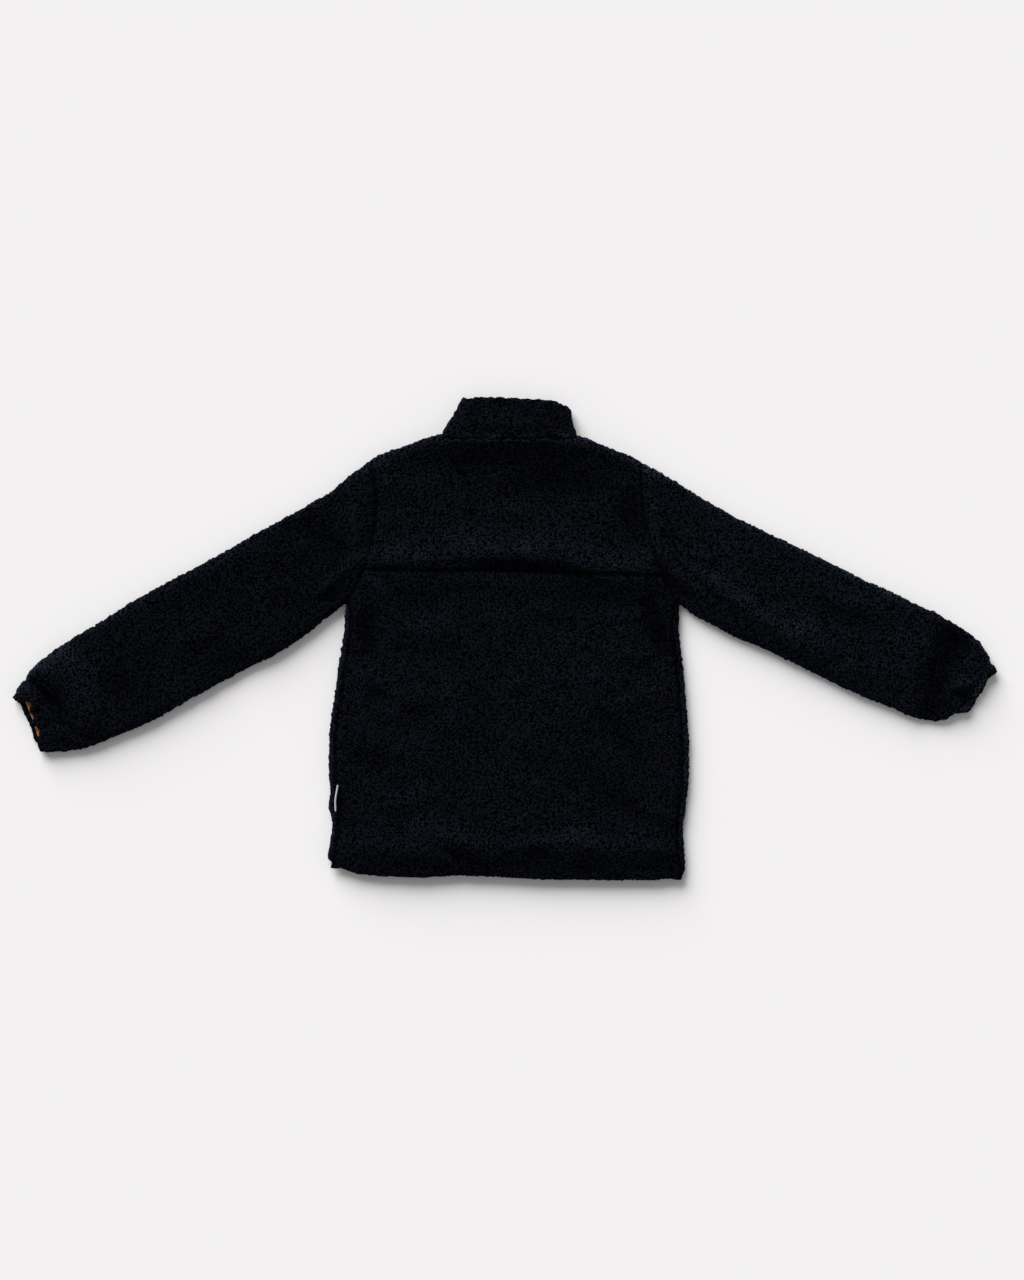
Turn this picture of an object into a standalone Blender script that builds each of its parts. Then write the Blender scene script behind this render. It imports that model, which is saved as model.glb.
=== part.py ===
"""A child's teddy jacket laid flat on its front, for Blender: blender --background --python part.py

The jacket lies on the floor, z = 0, with its collar towards +Y and its back up, so the wearer's left is
at -X. The fronts lie on the floor and the back lies on the fronts. A side is a fold, a half circle from
the lower layer to the upper one. Each piece of cloth is a wall lofted through rows of points, and each
point is a pair, one on the outer skin and one on the inner skin.

Tables and named sizes are in millimetres, and wall() and block() make metres of them.
"""
import math
from collections import namedtuple

import bmesh
import bpy
import numpy as np
from mathutils import Vector

MM = 0.001

# ---- cloth ---------------------------------------------------------------------------------------
WALL = 6.0  # teddy pile with its knitted ground and lining
COLLAR_WALL = 6.4  # two cloths back to back, pressed
CUFF_WALL = 5.2
LINING_WALL = 1.2
SEAM = 0.3  # between two pieces where they are sewn together
NECK_SEAM = 0.5
FOLD = 7.0  # outer radius of a folded side, half the height of two layers
COLLAR_FOLD = 8.0
FOLD_STEPS = 4
CROWN = 1.5  # how far the middle of the back stands above its sides
CROWN_FADE = 40.0  # length below the neck and shoulders over which it comes in
TUBE_CROWN = 0.6  # and the middle of a sleeve above its edges
EDGE_ROLL = 0.28  # share of the wall that a free edge loses on each skin
TUCK = 5.0  # from the shoulder fold to the shoulder seam, on the underside
SHOULDER_BOW = 2.0  # outward bow of the shoulder fold between the neck and the armhole
SHARP_EDGE = math.radians(50)

# ---- plan of the jacket --------------------------------------------------------------------------
Side = namedtuple("Side", "shoulder shoulder_fold underarm underarm_fold neck neck_fold collar_top "
                          "collar_fold armhole_bow seam_in sign")
LEFT = Side(
    shoulder=Vector((-161, 211)),  # where the armhole seam reaches the shoulder fold
    shoulder_fold=Vector((-0.46, 0.885)).normalized(),  # which way the fold faces there
    underarm=Vector((-191, 37)),
    underarm_fold=Vector((-0.455, -0.89)).normalized(),
    neck=Vector((-75, 245)),  # where the neck seam reaches the shoulder fold
    neck_fold=Vector((-0.64, 0.77)).normalized(),
    collar_top=Vector((-50, 285)),
    collar_fold=Vector((-0.85, 0.52)).normalized(),
    armhole_bow=17,
    seam_in=9,  # the side seam lies on the back, this far in from the fold
    sign=-1,
)
RIGHT = Side(
    shoulder=Vector((167, 211)),
    shoulder_fold=Vector((0.45, 0.89)).normalized(),
    underarm=Vector((211, 37)),
    underarm_fold=Vector((0.5, -0.87)).normalized(),
    neck=Vector((88, 243)),
    neck_fold=Vector((0.77, 0.64)).normalized(),
    collar_top=Vector((79, 277)),
    collar_fold=Vector((0.98, 0.2)).normalized(),
    armhole_bow=-12.5,
    seam_in=8.5,
    sign=1,
)
CENTRE_FRONT = 5.0
FRONT_EDGE = 6.0  # from the centre front to the edge of each front
NECK_DIP = 3.0  # of the back neck seam
FRONT_NECK = 190.0  # height of the front neckline at the centre front
FRONT_NECK_POWER = 2.2
NECK_TUCK = 3.2  # from the neck fold to where the shoulder seam meets the front neckline
COLLAR_FRONT_TOP = 240.0
COLLAR_TOP_BOW = 9.0
COLLAR_TURN = 0.4  # share of its height over which the fold turns from the neck's way to the top's


def table(columns, *rows):
    """One array of numbers for each named column."""
    return {name: np.array(values, float) for name, values in zip(columns.split(), zip(*rows))}


SIDE_FOLDS = table(
    "y     left  right",
    (37, -191, 211),
    (0, -194, 211),
    (-60, -202, 216),
    (-120, -210, 221),
    (-180, -209, 221),
    (-225, -206, 215),
    (-266, -212, 217),
)
YOKE_SEAM = table("x y", (-168, 81), (-80, 80), (-10, 82), (50, 79), (110, 77), (190, 74))
HEM = table(
    "x     y",
    (-212, -266),
    (-198, -279),
    (-170, -286),
    (-110, -289),
    (-40, -286),
    (40, -291),
    (130, -292),
    (198, -291),
    (211, -288),
    (217, -280),
)

# ---- relief of the upper layer -------------------------------------------------------------------
# The yoke droops in a soft fold over its own seam: how high, across the back, and its section.
YOKE_FOLD = table(
    "x     rise",
    (-168, 2.0),
    (-100, 3.5),
    (-52, 5.5),
    (-15, 9.5),
    (44, 11.5),
    (90, 9.5),
    (120, 5.0),
    (190, 2.5),
)
YOKE_FOLD_SECTION = table(
    "above_seam share",
    (0, 0.0),
    (4, 0.55),
    (10, 0.95),
    (16, 1.0),
    (27, 0.82),
    (45, 0.4),
    (66, 0.0),
)
# The turned-up hem: how high it stands and how much thicker it is, by the distance from its edge.
HEM_SECTION = table(
    "above_edge rise thicker",
    (0, 0.5, 1.0),
    (8, 2.5, 2.0),
    (19, 1.2, 2.0),
    (34, 2.6, 2.2),
    (62, 0.0, 0.0),
)
FRONT_HEM = table("above_edge thicker", (0, 0.4), (20, 0.4), (30, 0.0))

# ---- rows of each piece, as shares of the way between its named lines ----------------------------
YOKE_ROWS = (0, 0.032, 0.08, 0.13, 0.215, 0.36, 0.52, 0.68, 0.84, 1)
BACK_UPPER_ROWS = (0, 0.5, 1)
FRONT_UPPER_ROWS = (0, 0.17, 0.34, 0.51, 0.68, 0.84, 1)
LOWER_ROWS = (0, 0.06, 0.13, 0.2, 0.28, 0.36, 0.44, 0.52, 0.6, 0.68, 0.76, 0.83, 0.89, 0.94, 0.98, 1)
SHOULDER_COLUMNS = 4
NECK_COLUMNS = 8
BACK_COLUMNS = 16
FRONT_NECK_COLUMNS = 4
COLLAR_ROWS = (0, 0.12, 0.35, 0.6, 0.85, 0.96, 1)
UNDERARM_STEP = 2.0  # from the underarm fold to where the side seam starts
UNDERARM_BLEND = 20.0  # length over which the side seam comes in to that place

# ---- sleeves and cuffs: a row for each ring, from the armhole outwards ---------------------------
RING = "upper_x upper_y lower_x lower_y bow height"
SLEEVES = {
    "left": table(
        RING,
        (-205, 181, -202, 30, 9, 14.5),
        (-249, 151, -214, 21, 3, 15),
        (-293, 128, -228, 11, 0, 15),
        (-341, 100, -275, -20, 0, 15),
        (-389, 75, -322, -44, 0, 15),
        (-437, 49, -370, -70, 0, 15.2),
        (-485, 19, -420, -98, 0, 15.2),
        (-520, -2, -471, -120, 0, 15.2),
        (-540, -15, -500, -132, 0, 15.2),
        (-550, -23, -518, -136, 0, 13.5),
    ),
    "right": table(
        RING,
        (206, 187, 218, 33, 8, 14.5),
        (245, 163, 223, 29, 3, 15),
        (283, 142, 229, 26, 0, 15),
        (331, 119, 275, 2, 0, 15),
        (379, 96, 324, -20, 0, 15),
        (427, 72, 373, -43, 0, 15.2),
        (475, 50, 420, -67, 0, 15.2),
        (500, 38, 455, -81, 0, 15.2),
        (518, 30, 484, -92, 0, 15.2),
        (530, 23, 504, -98, 0, 13.5),
    ),
}
SEWN_RINGS = 4  # rings over which a sleeve's points leave the armhole's spacing and even out
# A cuff's first ring is its sleeve's last. The setback is how far the mouth's upper edge lies back.
CUFF_RING = RING + " setback"
SETBACK_POWER = 0.6
CUFFS = {
    "left": table(
        CUFF_RING,
        (-559, -30, -528, -138, 0, 14, 1),
        (-569, -39, -538, -139, 0, 14.2, 3),
        (-578, -50, -548, -139, 0, 14.2, 6),
        (-585, -62, -554, -138, 0, 14.2, 8),
        (-589, -69, -557, -137, -1, 14, 9),
    ),
    "right": table(
        CUFF_RING,
        (541, 17, 517, -100, 0, 14, 0),
        (557, 7, 530, -99, 0, 14.2, 1),
        (572, -6, 542, -95, 1, 14.2, 2),
        (583, -23, 550, -92, 2, 14.2, 3),
        (590, -37, 555, -91, 1, 14, 3),
    ),
}
CUFF_FLAT_STEPS = 14
CUFF_GATHERS = 3.5  # gathers across one layer of a cuff
GATHER_DEPTH = 1.3
LINING_RINGS = slice(2, 5)  # the cuff's rings that the lining follows

# ---- zip -----------------------------------------------------------------------------------------
ZIP_HEM = -283.0
ZIP_TOP = 239.0
TAPE_WIDTH = 15.0
TAPE_LEVELS = (6.9, 7.7)
CHAIN_WIDTH = 5.0
CHAIN_LEVELS = (5.2, 6.6)
SLIDER_AT = 231.5  # the pull's axis, along the zip
SLIDER_SIZE = (9.0, 11.0)
SLIDER_LEVELS = (3.8, 4.9)
BAIL_SIZE = (2.2, 8.0)
BAIL_WIRE = 0.9
BAIL_LOW = 0.7
BAIL_ROOT = 0.4  # how far the bail runs into the slider's plate
CUTTER_EXTRA = 1.0  # how far a cutter stands out of what it cuts
PULL_LEVELS = (2.2, 3.2)
PULL_SIZE = (7.0, 20.5)
PULL_WINDOW = (3.6, 5.0)

# ---- side label ----------------------------------------------------------------------------------
LABEL_WALL = 0.9
LABEL_FOOT = 14.6
LABEL_TOP = 24.0
LABEL_EDGE = table("y lean", (-177, 2.0), (-186, 3.2), (-194, 5.8), (-202, 5.0), (-209, 6.5))

UP = Vector((0, 0, 1))


# ---- lines of the plan ---------------------------------------------------------------------------
def between(lines, share_lists):
    """Values that step through lines, each stretch by its own list of shares."""
    values = [lines[0]]
    for start, end, steps in zip(lines, lines[1:], share_lists):
        values += [start + (end - start) * share for share in steps[1:]]
    return values


def look_up(lines, at, column, value):
    """A table's column where another of its columns has a value."""
    order = np.argsort(lines[at])
    return float(np.interp(value, lines[at][order], lines[column][order]))


def fold_centre(point, facing, radius=FOLD):
    """The middle of a fold's half circle, in plan."""
    return point - facing * radius


def armhole(side, y, shift=0.0):
    """A point of the armhole seam, with shift moving it away from the body."""
    top = fold_centre(side.shoulder, side.shoulder_fold)
    low = fold_centre(side.underarm, side.underarm_fold)
    share = (top.y - y) / (top.y - low.y)
    bow = side.armhole_bow * 4 * share * (1 - share)
    return Vector((top.x + (low.x - top.x) * share + bow + side.sign * shift, y))


def side_fold(side, y):
    """How far out the side fold lies at a height."""
    return look_up(SIDE_FOLDS, "y", "left" if side.sign < 0 else "right", y)


def underarm_seam(side):
    """Where side seam, armhole and sleeve meet, on the upper layer."""
    low = fold_centre(side.underarm, side.underarm_fold)
    return armhole(side, low.y + UNDERARM_STEP)


def back_edge(side, y):
    """The edge of the back: the armhole above the underarm, the side seam below it."""
    meeting = underarm_seam(side)
    if y >= meeting.y:
        return armhole(side, y).x
    settled = min(1.0, (meeting.y - y) / UNDERARM_BLEND)
    seam = side_fold(side, y) - side.sign * side.seam_in
    return meeting.x + (seam - meeting.x) * settled


def side_hem(side):
    """The height at which the side fold ends."""
    return hem(side_fold(side, SIDE_FOLDS["y"].min()))


def side_seam_heights(side):
    """The rows of the side seam, from the underarm to the hem."""
    foot = side_fold(side, side_hem(side)) - side.sign * side.seam_in
    return between((underarm_seam(side).y, hem(foot)), (LOWER_ROWS,))


def neck_seam(share):
    """The back neck seam from the left neck point to the right one."""
    start = fold_centre(LEFT.neck, LEFT.neck_fold)
    end = fold_centre(RIGHT.neck, RIGHT.neck_fold)
    point = start.lerp(end, share)
    point.y -= NECK_DIP * (1 - (2 * share - 1) ** 2)
    return point


def front_neckline(side, x):
    """The front neckline's height at x."""
    end = fold_centre(side.neck, side.neck_fold)
    share = abs(x - CENTRE_FRONT) / abs(end.x - CENTRE_FRONT)
    return FRONT_NECK + (end.y - FRONT_NECK) * share ** FRONT_NECK_POWER


def front_neck_points(side):
    """The front neckline from the front edge to where the shoulder seam meets it."""
    start = CENTRE_FRONT + side.sign * FRONT_EDGE
    end = fold_centre(side.neck, side.neck_fold).x - side.sign * NECK_TUCK
    xs = np.linspace(start, end, FRONT_NECK_COLUMNS + 1)
    return [Vector((x, front_neckline(side, x))) for x in xs]


def shoulder_seam(side, share):
    """The shoulder seam under the shoulder fold, from the neckline to the armhole."""
    low = fold_centre(side.shoulder, side.shoulder_fold).y - TUCK
    return front_neck_points(side)[-1].lerp(armhole(side, low), share)


def shoulder_line(side, share):
    """The middle of the shoulder fold and the way it faces, from the neck to the armhole."""
    start = fold_centre(side.neck, side.neck_fold)
    end = fold_centre(side.shoulder, side.shoulder_fold)
    if share in (0, 1):
        return (start, side.neck_fold) if share == 0 else (end, side.shoulder_fold)
    along = (end - start).normalized()
    facing = Vector((-along.y, along.x)) * side.sign
    middle = start.lerp(end, share) + facing * SHOULDER_BOW * math.sin(math.pi * share)
    return middle, facing


def top_line(x):
    """The height of the neck and shoulder line above a point of the back."""
    points = [shoulder_line(LEFT, 1)[0], neck_seam(0), neck_seam(0.5), neck_seam(1)]
    points.append(shoulder_line(RIGHT, 1)[0])
    return float(np.interp(x, [p.x for p in points], [p.y for p in points]))


def hem(x):
    return look_up(HEM, "x", "y", x)


def yoke_seam(x):
    return look_up(YOKE_SEAM, "x", "y", x)


def yoke_seam_end(side):
    """The height at which the yoke seam meets the armhole."""
    return float(YOKE_SEAM["y"][0 if side is LEFT else -1])


# ---- heights of the upper layer ------------------------------------------------------------------
def away_from_sides(x, y):
    """0 at the edges of the back, 1 over most of it."""
    left, right = back_edge(LEFT, y), back_edge(RIGHT, y)
    across = 2 * (x - left) / (right - left) - 1
    return max(0.0, 1 - across ** 6)


def hem_section(x, y, column):
    return look_up(HEM_SECTION, "above_edge", column, max(0.0, y - hem(x))) * away_from_sides(x, y)


def yoke_fold(x, y):
    section = look_up(YOKE_FOLD_SECTION, "above_seam", "share", y - yoke_seam(x))
    return look_up(YOKE_FOLD, "x", "rise", x) * section


def back_height(x, y):
    """The outer skin of the back and the yoke."""
    crown = CROWN * away_from_sides(x, y) * min(1.0, max(0.0, (top_line(x) - y) / CROWN_FADE))
    return 2 * FOLD + crown + yoke_fold(x, y) + hem_section(x, y, "rise")


# ---- points of a wall ----------------------------------------------------------------------------
def skins(point, facing=UP, wall=WALL, dent=0.0):
    """A pair: the point on the outer skin, sunk by dent, and the point on the inner skin behind it."""
    point = Vector(point)
    return point - facing * dent, point - facing * wall


def upper(x, y, height, wall=WALL):
    return skins((x, y, height), UP, wall)


def lower(x, y, wall=WALL):
    """A point of the layer that lies on the floor."""
    return skins((x, y, 0), -UP, wall)


def fold(centre, facing, share, radius=FOLD, wall=WALL, dent=0.0):
    """A point of a fold, from its upper end at share 0 to its lower end at 1."""
    angle = math.pi * (0.5 - share)
    out = Vector((facing.x * math.cos(angle), facing.y * math.cos(angle), math.sin(angle)))
    return skins(Vector((centre.x, centre.y, radius)) + out * radius, out, wall, dent)


def rolled(pair):
    """The same place on a free edge, where the wall is thinner on both skins."""
    outer, inner = pair
    return outer.lerp(inner, EDGE_ROLL), inner.lerp(outer, EDGE_ROLL)


def shares(steps):
    return [i / steps for i in range(steps + 1)]


# ---- building ------------------------------------------------------------------------------------
def paint(name, colour, roughness, metallic=0.0):
    material = bpy.data.materials.new(name)
    material.use_nodes = True
    shader = material.node_tree.nodes["Principled BSDF"]
    shader.inputs["Base Color"].default_value = (*colour, 1.0)
    shader.inputs["Roughness"].default_value = roughness
    shader.inputs["Metallic"].default_value = metallic
    material.diffuse_color = (*colour, 1.0)
    return material


def place(name, mesh, material, collection):
    mesh.materials.append(material)
    piece = bpy.data.objects.new(name, mesh)
    collection.objects.link(piece)
    return piece


def wall(name, rows, material, collection, around=False):
    """A closed piece of cloth through rows of pairs. None leaves a place out, around joins the ends."""
    mesh_of = bmesh.new()
    columns = len(rows[0])
    quads = []
    for i in range(len(rows) - 1):
        for j in range(columns if around else columns - 1):
            after = (j + 1) % columns
            corners = ((i, j), (i, after), (i + 1, after), (i + 1, j))
            if all(rows[a][b] is not None for a, b in corners):
                quads.append(corners)
    points = {}
    for quad in quads:
        for i, j in quad:
            if (i, j) not in points:
                points[i, j] = [mesh_of.verts.new(place_of * MM) for place_of in rows[i][j]]
    edges = {}
    for quad in quads:
        mesh_of.faces.new([points[corner][0] for corner in quad])
        mesh_of.faces.new([points[corner][1] for corner in reversed(quad)])
        for start, end in zip(quad, quad[1:] + quad[:1]):
            edges[start, end] = True
    for start, end in edges:
        if (end, start) not in edges:
            rim = (points[end][0], points[start][0], points[start][1], points[end][1])
            mesh_of.faces.new(rim)
    bmesh.ops.recalc_face_normals(mesh_of, faces=mesh_of.faces)
    mesh = bpy.data.meshes.new(name)
    mesh_of.to_mesh(mesh)
    mesh_of.free()
    mesh.shade_smooth()
    mesh.set_sharp_from_angle(angle=SHARP_EDGE)
    return place(name, mesh, material, collection)


def block(name, low, high, material, collection, bevel=0.0):
    """A box between two corners, with rounded edges if bevel is given."""
    mesh_of = bmesh.new()
    bmesh.ops.create_cube(mesh_of, size=1.0)
    low, high = Vector(low), Vector(high)
    for vert in mesh_of.verts:
        share = vert.co + Vector((0.5, 0.5, 0.5))
        vert.co = Vector([a + (b - a) * s for a, b, s in zip(low, high, share)]) * MM
    mesh = bpy.data.meshes.new(name)
    mesh_of.to_mesh(mesh)
    mesh_of.free()
    piece = place(name, mesh, material, collection)
    if bevel:
        rounding = piece.modifiers.new("rounding", "BEVEL")
        rounding.width = bevel * MM
        rounding.segments = 2
    return piece


def combine(piece, other, operation):
    """Joins or cuts a piece with another, which is then hidden as a guide."""
    step = piece.modifiers.new(operation.lower(), "BOOLEAN")
    step.operation = operation
    step.object = other
    other.hide_render = True
    other.display_type = "WIRE"


# ---- the body ------------------------------------------------------------------------------------
def yoke_columns():
    """Shares across the yoke, so that the neck points fall on columns."""
    left, right = shoulder_line(LEFT, 1)[0].x, shoulder_line(RIGHT, 1)[0].x
    necks = [(neck_seam(share).x - left) / (right - left) for share in (0, 1)]
    outer = [necks[0] * share for share in shares(SHOULDER_COLUMNS)]
    neck = [necks[0] + (necks[1] - necks[0]) * share for share in shares(NECK_COLUMNS)]
    far = [necks[1] + (1 - necks[1]) * share for share in shares(SHOULDER_COLUMNS)]
    return outer[:-1] + neck + far[1:]


def yoke_top(column):
    """The yoke's upper line at a column: on the shoulder fold's middle or on the neck seam."""
    if column < SHOULDER_COLUMNS:
        return shoulder_line(LEFT, 1 - column / SHOULDER_COLUMNS)[0]
    column -= SHOULDER_COLUMNS
    if column <= NECK_COLUMNS:
        return neck_seam(column / NECK_COLUMNS)
    return shoulder_line(RIGHT, (column - NECK_COLUMNS) / SHOULDER_COLUMNS)[0]


def yoke_wrap(column, step):
    """The yoke where it runs over a shoulder to the shoulder seam, or None beside the neck."""
    last = 2 * SHOULDER_COLUMNS + NECK_COLUMNS
    side = LEFT if column <= SHOULDER_COLUMNS else RIGHT
    from_armhole = column if side is LEFT else last - column
    if from_armhole > SHOULDER_COLUMNS:
        return None
    share = 1 - from_armhole / SHOULDER_COLUMNS
    if step > FOLD_STEPS:
        seam = shoulder_seam(side, share)
        return lower(seam.x, seam.y + SEAM)
    middle, facing = shoulder_line(side, share)
    return fold(middle, facing, step / FOLD_STEPS)


def make_yoke(cloth, collection):
    across = yoke_columns()
    seam_left, seam_right = yoke_seam_end(LEFT), yoke_seam_end(RIGHT)
    rows = []
    for share in YOKE_ROWS:
        y_left = seam_left + (yoke_top(0).y - seam_left) * share
        y_right = seam_right + (yoke_top(len(across) - 1).y - seam_right) * share
        x_left, x_right = back_edge(LEFT, y_left), back_edge(RIGHT, y_right)
        row = []
        for column, place_across in enumerate(across):
            x = x_left + (x_right - x_left) * place_across
            if share == 1:
                x = yoke_top(column).x
            y = yoke_seam(x) + (yoke_top(column).y - yoke_seam(x)) * share
            row.append(upper(x, y, back_height(x, y)))
        rows.append(row)
    for step in range(1, FOLD_STEPS + 2):
        rows.append([yoke_wrap(column, step) for column in range(len(across))])
    return wall("back_yoke", rows, cloth, collection)


def make_back(cloth, collection):
    steps = (BACK_UPPER_ROWS, LOWER_ROWS)
    arms = [underarm_seam(side).y for side in (LEFT, RIGHT)]
    edges = []
    for side, arm in zip((LEFT, RIGHT), arms):
        upper_ones = between((yoke_seam_end(side) - SEAM, arm), (BACK_UPPER_ROWS,))
        edges.append(upper_ones[:-1] + side_seam_heights(side))
    rows = []
    for i, (y_left, y_right) in enumerate(zip(*edges)):
        x_left, x_right = back_edge(LEFT, y_left), back_edge(RIGHT, y_right)
        row = []
        for across in shares(BACK_COLUMNS):
            x = x_left + (x_right - x_left) * across
            arm = arms[0] + (arms[1] - arms[0]) * across
            if across in (0, 1):
                y = y_left if across == 0 else y_right
            else:
                y = between((yoke_seam(x) - SEAM, arm, hem(x)), steps)[i]
            thicker = hem_section(x, y, "thicker")
            row.append(upper(x, y, back_height(x, y), WALL + thicker))
        rows.append(row)
    rows[-1] = [rolled(pair) for pair in rows[-1]]
    return wall("back", rows, cloth, collection)


def make_front(name, side, cloth, collection):
    """A front: flat on the floor, and folded up round the side to the side seam on the back."""
    neck = front_neck_points(side)
    shoulder = [shoulder_seam(side, share) for share in shares(SHOULDER_COLUMNS)]
    top = neck + shoulder[1:]
    across = [(point.x - top[0].x) / (top[-1].x - top[0].x) for point in top]
    low = fold_centre(side.underarm, side.underarm_fold)
    steps = (FRONT_UPPER_ROWS, LOWER_ROWS)
    seam_ys = side_seam_heights(side)
    rows = []
    for i, y_side in enumerate(between((top[-1].y, low.y, side_hem(side)), steps)):
        below = i - len(FRONT_UPPER_ROWS) + 1
        under = below >= 0
        facing = side.underarm_fold if y_side >= low.y else Vector((side.sign, 0))
        if y_side >= low.y:
            middle = armhole(side, y_side)
        else:
            middle = Vector((side_fold(side, y_side), y_side)) - facing * FOLD
        row = []
        for column, share in enumerate(across):
            x = top[column].x if i == 0 else top[0].x + (middle.x - top[0].x) * share
            y = y_side if share == 1 else between((top[column].y, low.y, hem(x)), steps)[i]
            thicker = look_up(FRONT_HEM, "above_edge", "thicker", y - hem(x))
            row.append(lower(x, y, WALL + thicker))
        row[0] = rolled(row[0])
        for step in range(1, FOLD_STEPS + 1):
            row.append(fold(middle, facing, 1 - step / FOLD_STEPS) if under else None)
        seam_x = back_edge(side, seam_ys[below]) + side.sign * SEAM if under else None
        row.append(upper(seam_x, seam_ys[below], 2 * FOLD) if under else None)
        rows.append(row)
    rows[-1] = [rolled(pair) for pair in rows[-1]]
    return wall("front_" + name, rows, cloth, collection)


# ---- the sleeves ---------------------------------------------------------------------------------
def armhole_stations(side):
    """Heights of the sleeve's points round the armhole, on the upper and on the lower layer."""
    top = fold_centre(side.shoulder, side.shoulder_fold).y
    low = fold_centre(side.underarm, side.underarm_fold).y
    seam = yoke_seam_end(side)
    yoke = [seam + (top - seam) * share for share in reversed(YOKE_ROWS)]
    back = [seam + (low + UNDERARM_STEP - seam) * share for share in BACK_UPPER_ROWS]
    upper_ones = yoke + back[1:] + [low]
    front = [top - TUCK + (low - top + TUCK) * share for share in FRONT_UPPER_ROWS]
    lower_ones = list(reversed(front)) + [top]
    return upper_ones, lower_ones


def armhole_ring(side):
    upper_ones, lower_ones = armhole_stations(side)
    ring = []
    for y in upper_ones:
        point = armhole(side, y, SEAM)
        ring.append(upper(point.x, point.y, 2 * FOLD))
    low = armhole(side, upper_ones[-1], SEAM)
    ring += [fold(low, side.underarm_fold, k / FOLD_STEPS) for k in range(1, FOLD_STEPS)]
    for y in lower_ones:
        point = armhole(side, y, SEAM)
        ring.append(lower(point.x, point.y))
    top = armhole(side, upper_ones[0], SEAM)
    ring += [fold(top, side.shoulder_fold, 1 - k / FOLD_STEPS) for k in range(1, FOLD_STEPS)]
    return ring


def smooth(share):
    """A skin with no dents in it."""
    return 0.0


def tube_ring(row, uppers, lowers, sign, wall_now, dent=smooth):
    """A flattened ring. uppers and lowers are shares across its two layers, from the upper edge."""
    edge_up = Vector((row["upper_x"], row["upper_y"]))
    edge_low = Vector((row["lower_x"], row["lower_y"]))
    along = (edge_low - edge_up).normalized()
    outwards = Vector((along.y, -along.x))
    if outwards.x * sign < 0:
        outwards.negate()
    radius = row["height"] / 2
    start, end = edge_up + along * radius, edge_low - along * radius

    def across(share, back_by):
        bow = row["bow"] * 4 * share * (1 - share)
        back = back_by * math.sin(math.pi * share) ** SETBACK_POWER
        return start.lerp(end, share) + outwards * (bow - back)

    ring = []
    for share in uppers:
        point = across(share, row.get("setback", 0.0))
        crown = TUBE_CROWN * (1 - (2 * share - 1) ** 4)
        ring.append(skins((point.x, point.y, row["height"] + crown), UP, wall_now, dent(share)))
    ring += [fold(end, along, k / FOLD_STEPS, radius, wall_now) for k in range(1, FOLD_STEPS)]
    for share in lowers:
        point = across(share, 0.0)
        ring.append(skins((point.x, point.y, 0), -UP, wall_now, dent(share)))
    ring += [fold(start, -along, 1 - k / FOLD_STEPS, radius, wall_now) for k in range(1, FOLD_STEPS)]
    return ring


def rows_of(lines):
    """Each row of a table as a dictionary."""
    return [{name: float(lines[name][i]) for name in lines} for i in range(len(lines["height"]))]


def make_sleeve(name, side, cloth, collection):
    upper_ones, lower_ones = armhole_stations(side)
    top, low = upper_ones[0], upper_ones[-1]
    ring_rows = [armhole_ring(side)]
    even = (shares(len(upper_ones) - 1), shares(len(lower_ones) - 1)[::-1])
    for number, row in enumerate(rows_of(SLEEVES[name]), start=1):
        evened = min(1.0, number / SEWN_RINGS)
        layers = []
        for ones, level in zip((upper_ones, lower_ones), even):
            as_sewn = [(top - y) / (top - low) for y in ones]
            layers.append([a + (b - a) * evened for a, b in zip(as_sewn, level)])
        bowed = dict(row, bow=-row["bow"])
        ring_rows.append(tube_ring(bowed, layers[0], layers[1], side.sign, WALL))
    return wall("sleeve_" + name, ring_rows, cloth, collection, around=True)


def gather(share):
    """How far a cuff's skin is drawn in by its elastic."""
    return GATHER_DEPTH * (0.5 - 0.5 * math.cos(2 * math.pi * CUFF_GATHERS * share))


def cuff_rings(name, side):
    first = rows_of(SLEEVES[name])[-1]
    first["upper_x"] += side.sign * SEAM
    first["lower_x"] += side.sign * SEAM
    flat = shares(CUFF_FLAT_STEPS)
    rows = [first] + rows_of(CUFFS[name])
    return [tube_ring(row, flat, flat[::-1], side.sign, CUFF_WALL, gather) for row in rows]


def make_cuff(name, side, cloth, collection):
    rings = cuff_rings(name, side)
    rings[-1] = [rolled(pair) for pair in rings[-1]]
    return wall("cuff_" + name, rings, cloth, collection, around=True)


def make_cuff_lining(name, side, cloth, collection):
    """A thin tube inside the cuff, which ends a little inside its mouth."""
    rings = []
    for ring in cuff_rings(name, side)[LINING_RINGS]:
        pairs = []
        for outer, inner in ring:
            inwards = (inner - outer).normalized()
            near = inner + inwards * SEAM
            pairs.append((near, near + inwards * LINING_WALL))
        rings.append(pairs)
    return wall("cuff_lining_" + name, rings, cloth, collection, around=True)


# ---- the collar ----------------------------------------------------------------------------------
def collar_top_back(share):
    start = fold_centre(LEFT.collar_top, LEFT.collar_fold, COLLAR_FOLD)
    end = fold_centre(RIGHT.collar_top, RIGHT.collar_fold, COLLAR_FOLD)
    point = start.lerp(end, share)
    point.y += COLLAR_TOP_BOW * (1 - (2 * share - 1) ** 6)
    return point


def collar_top_front(side, share):
    """The front half's top edge, from the front edge to the fold."""
    end = fold_centre(side.collar_top, side.collar_fold, COLLAR_FOLD)
    start = CENTRE_FRONT + side.sign * FRONT_EDGE
    rise = (end.y - COLLAR_FRONT_TOP) * share ** 2
    return Vector((start + (end.x - start) * share, COLLAR_FRONT_TOP + rise))


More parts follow.
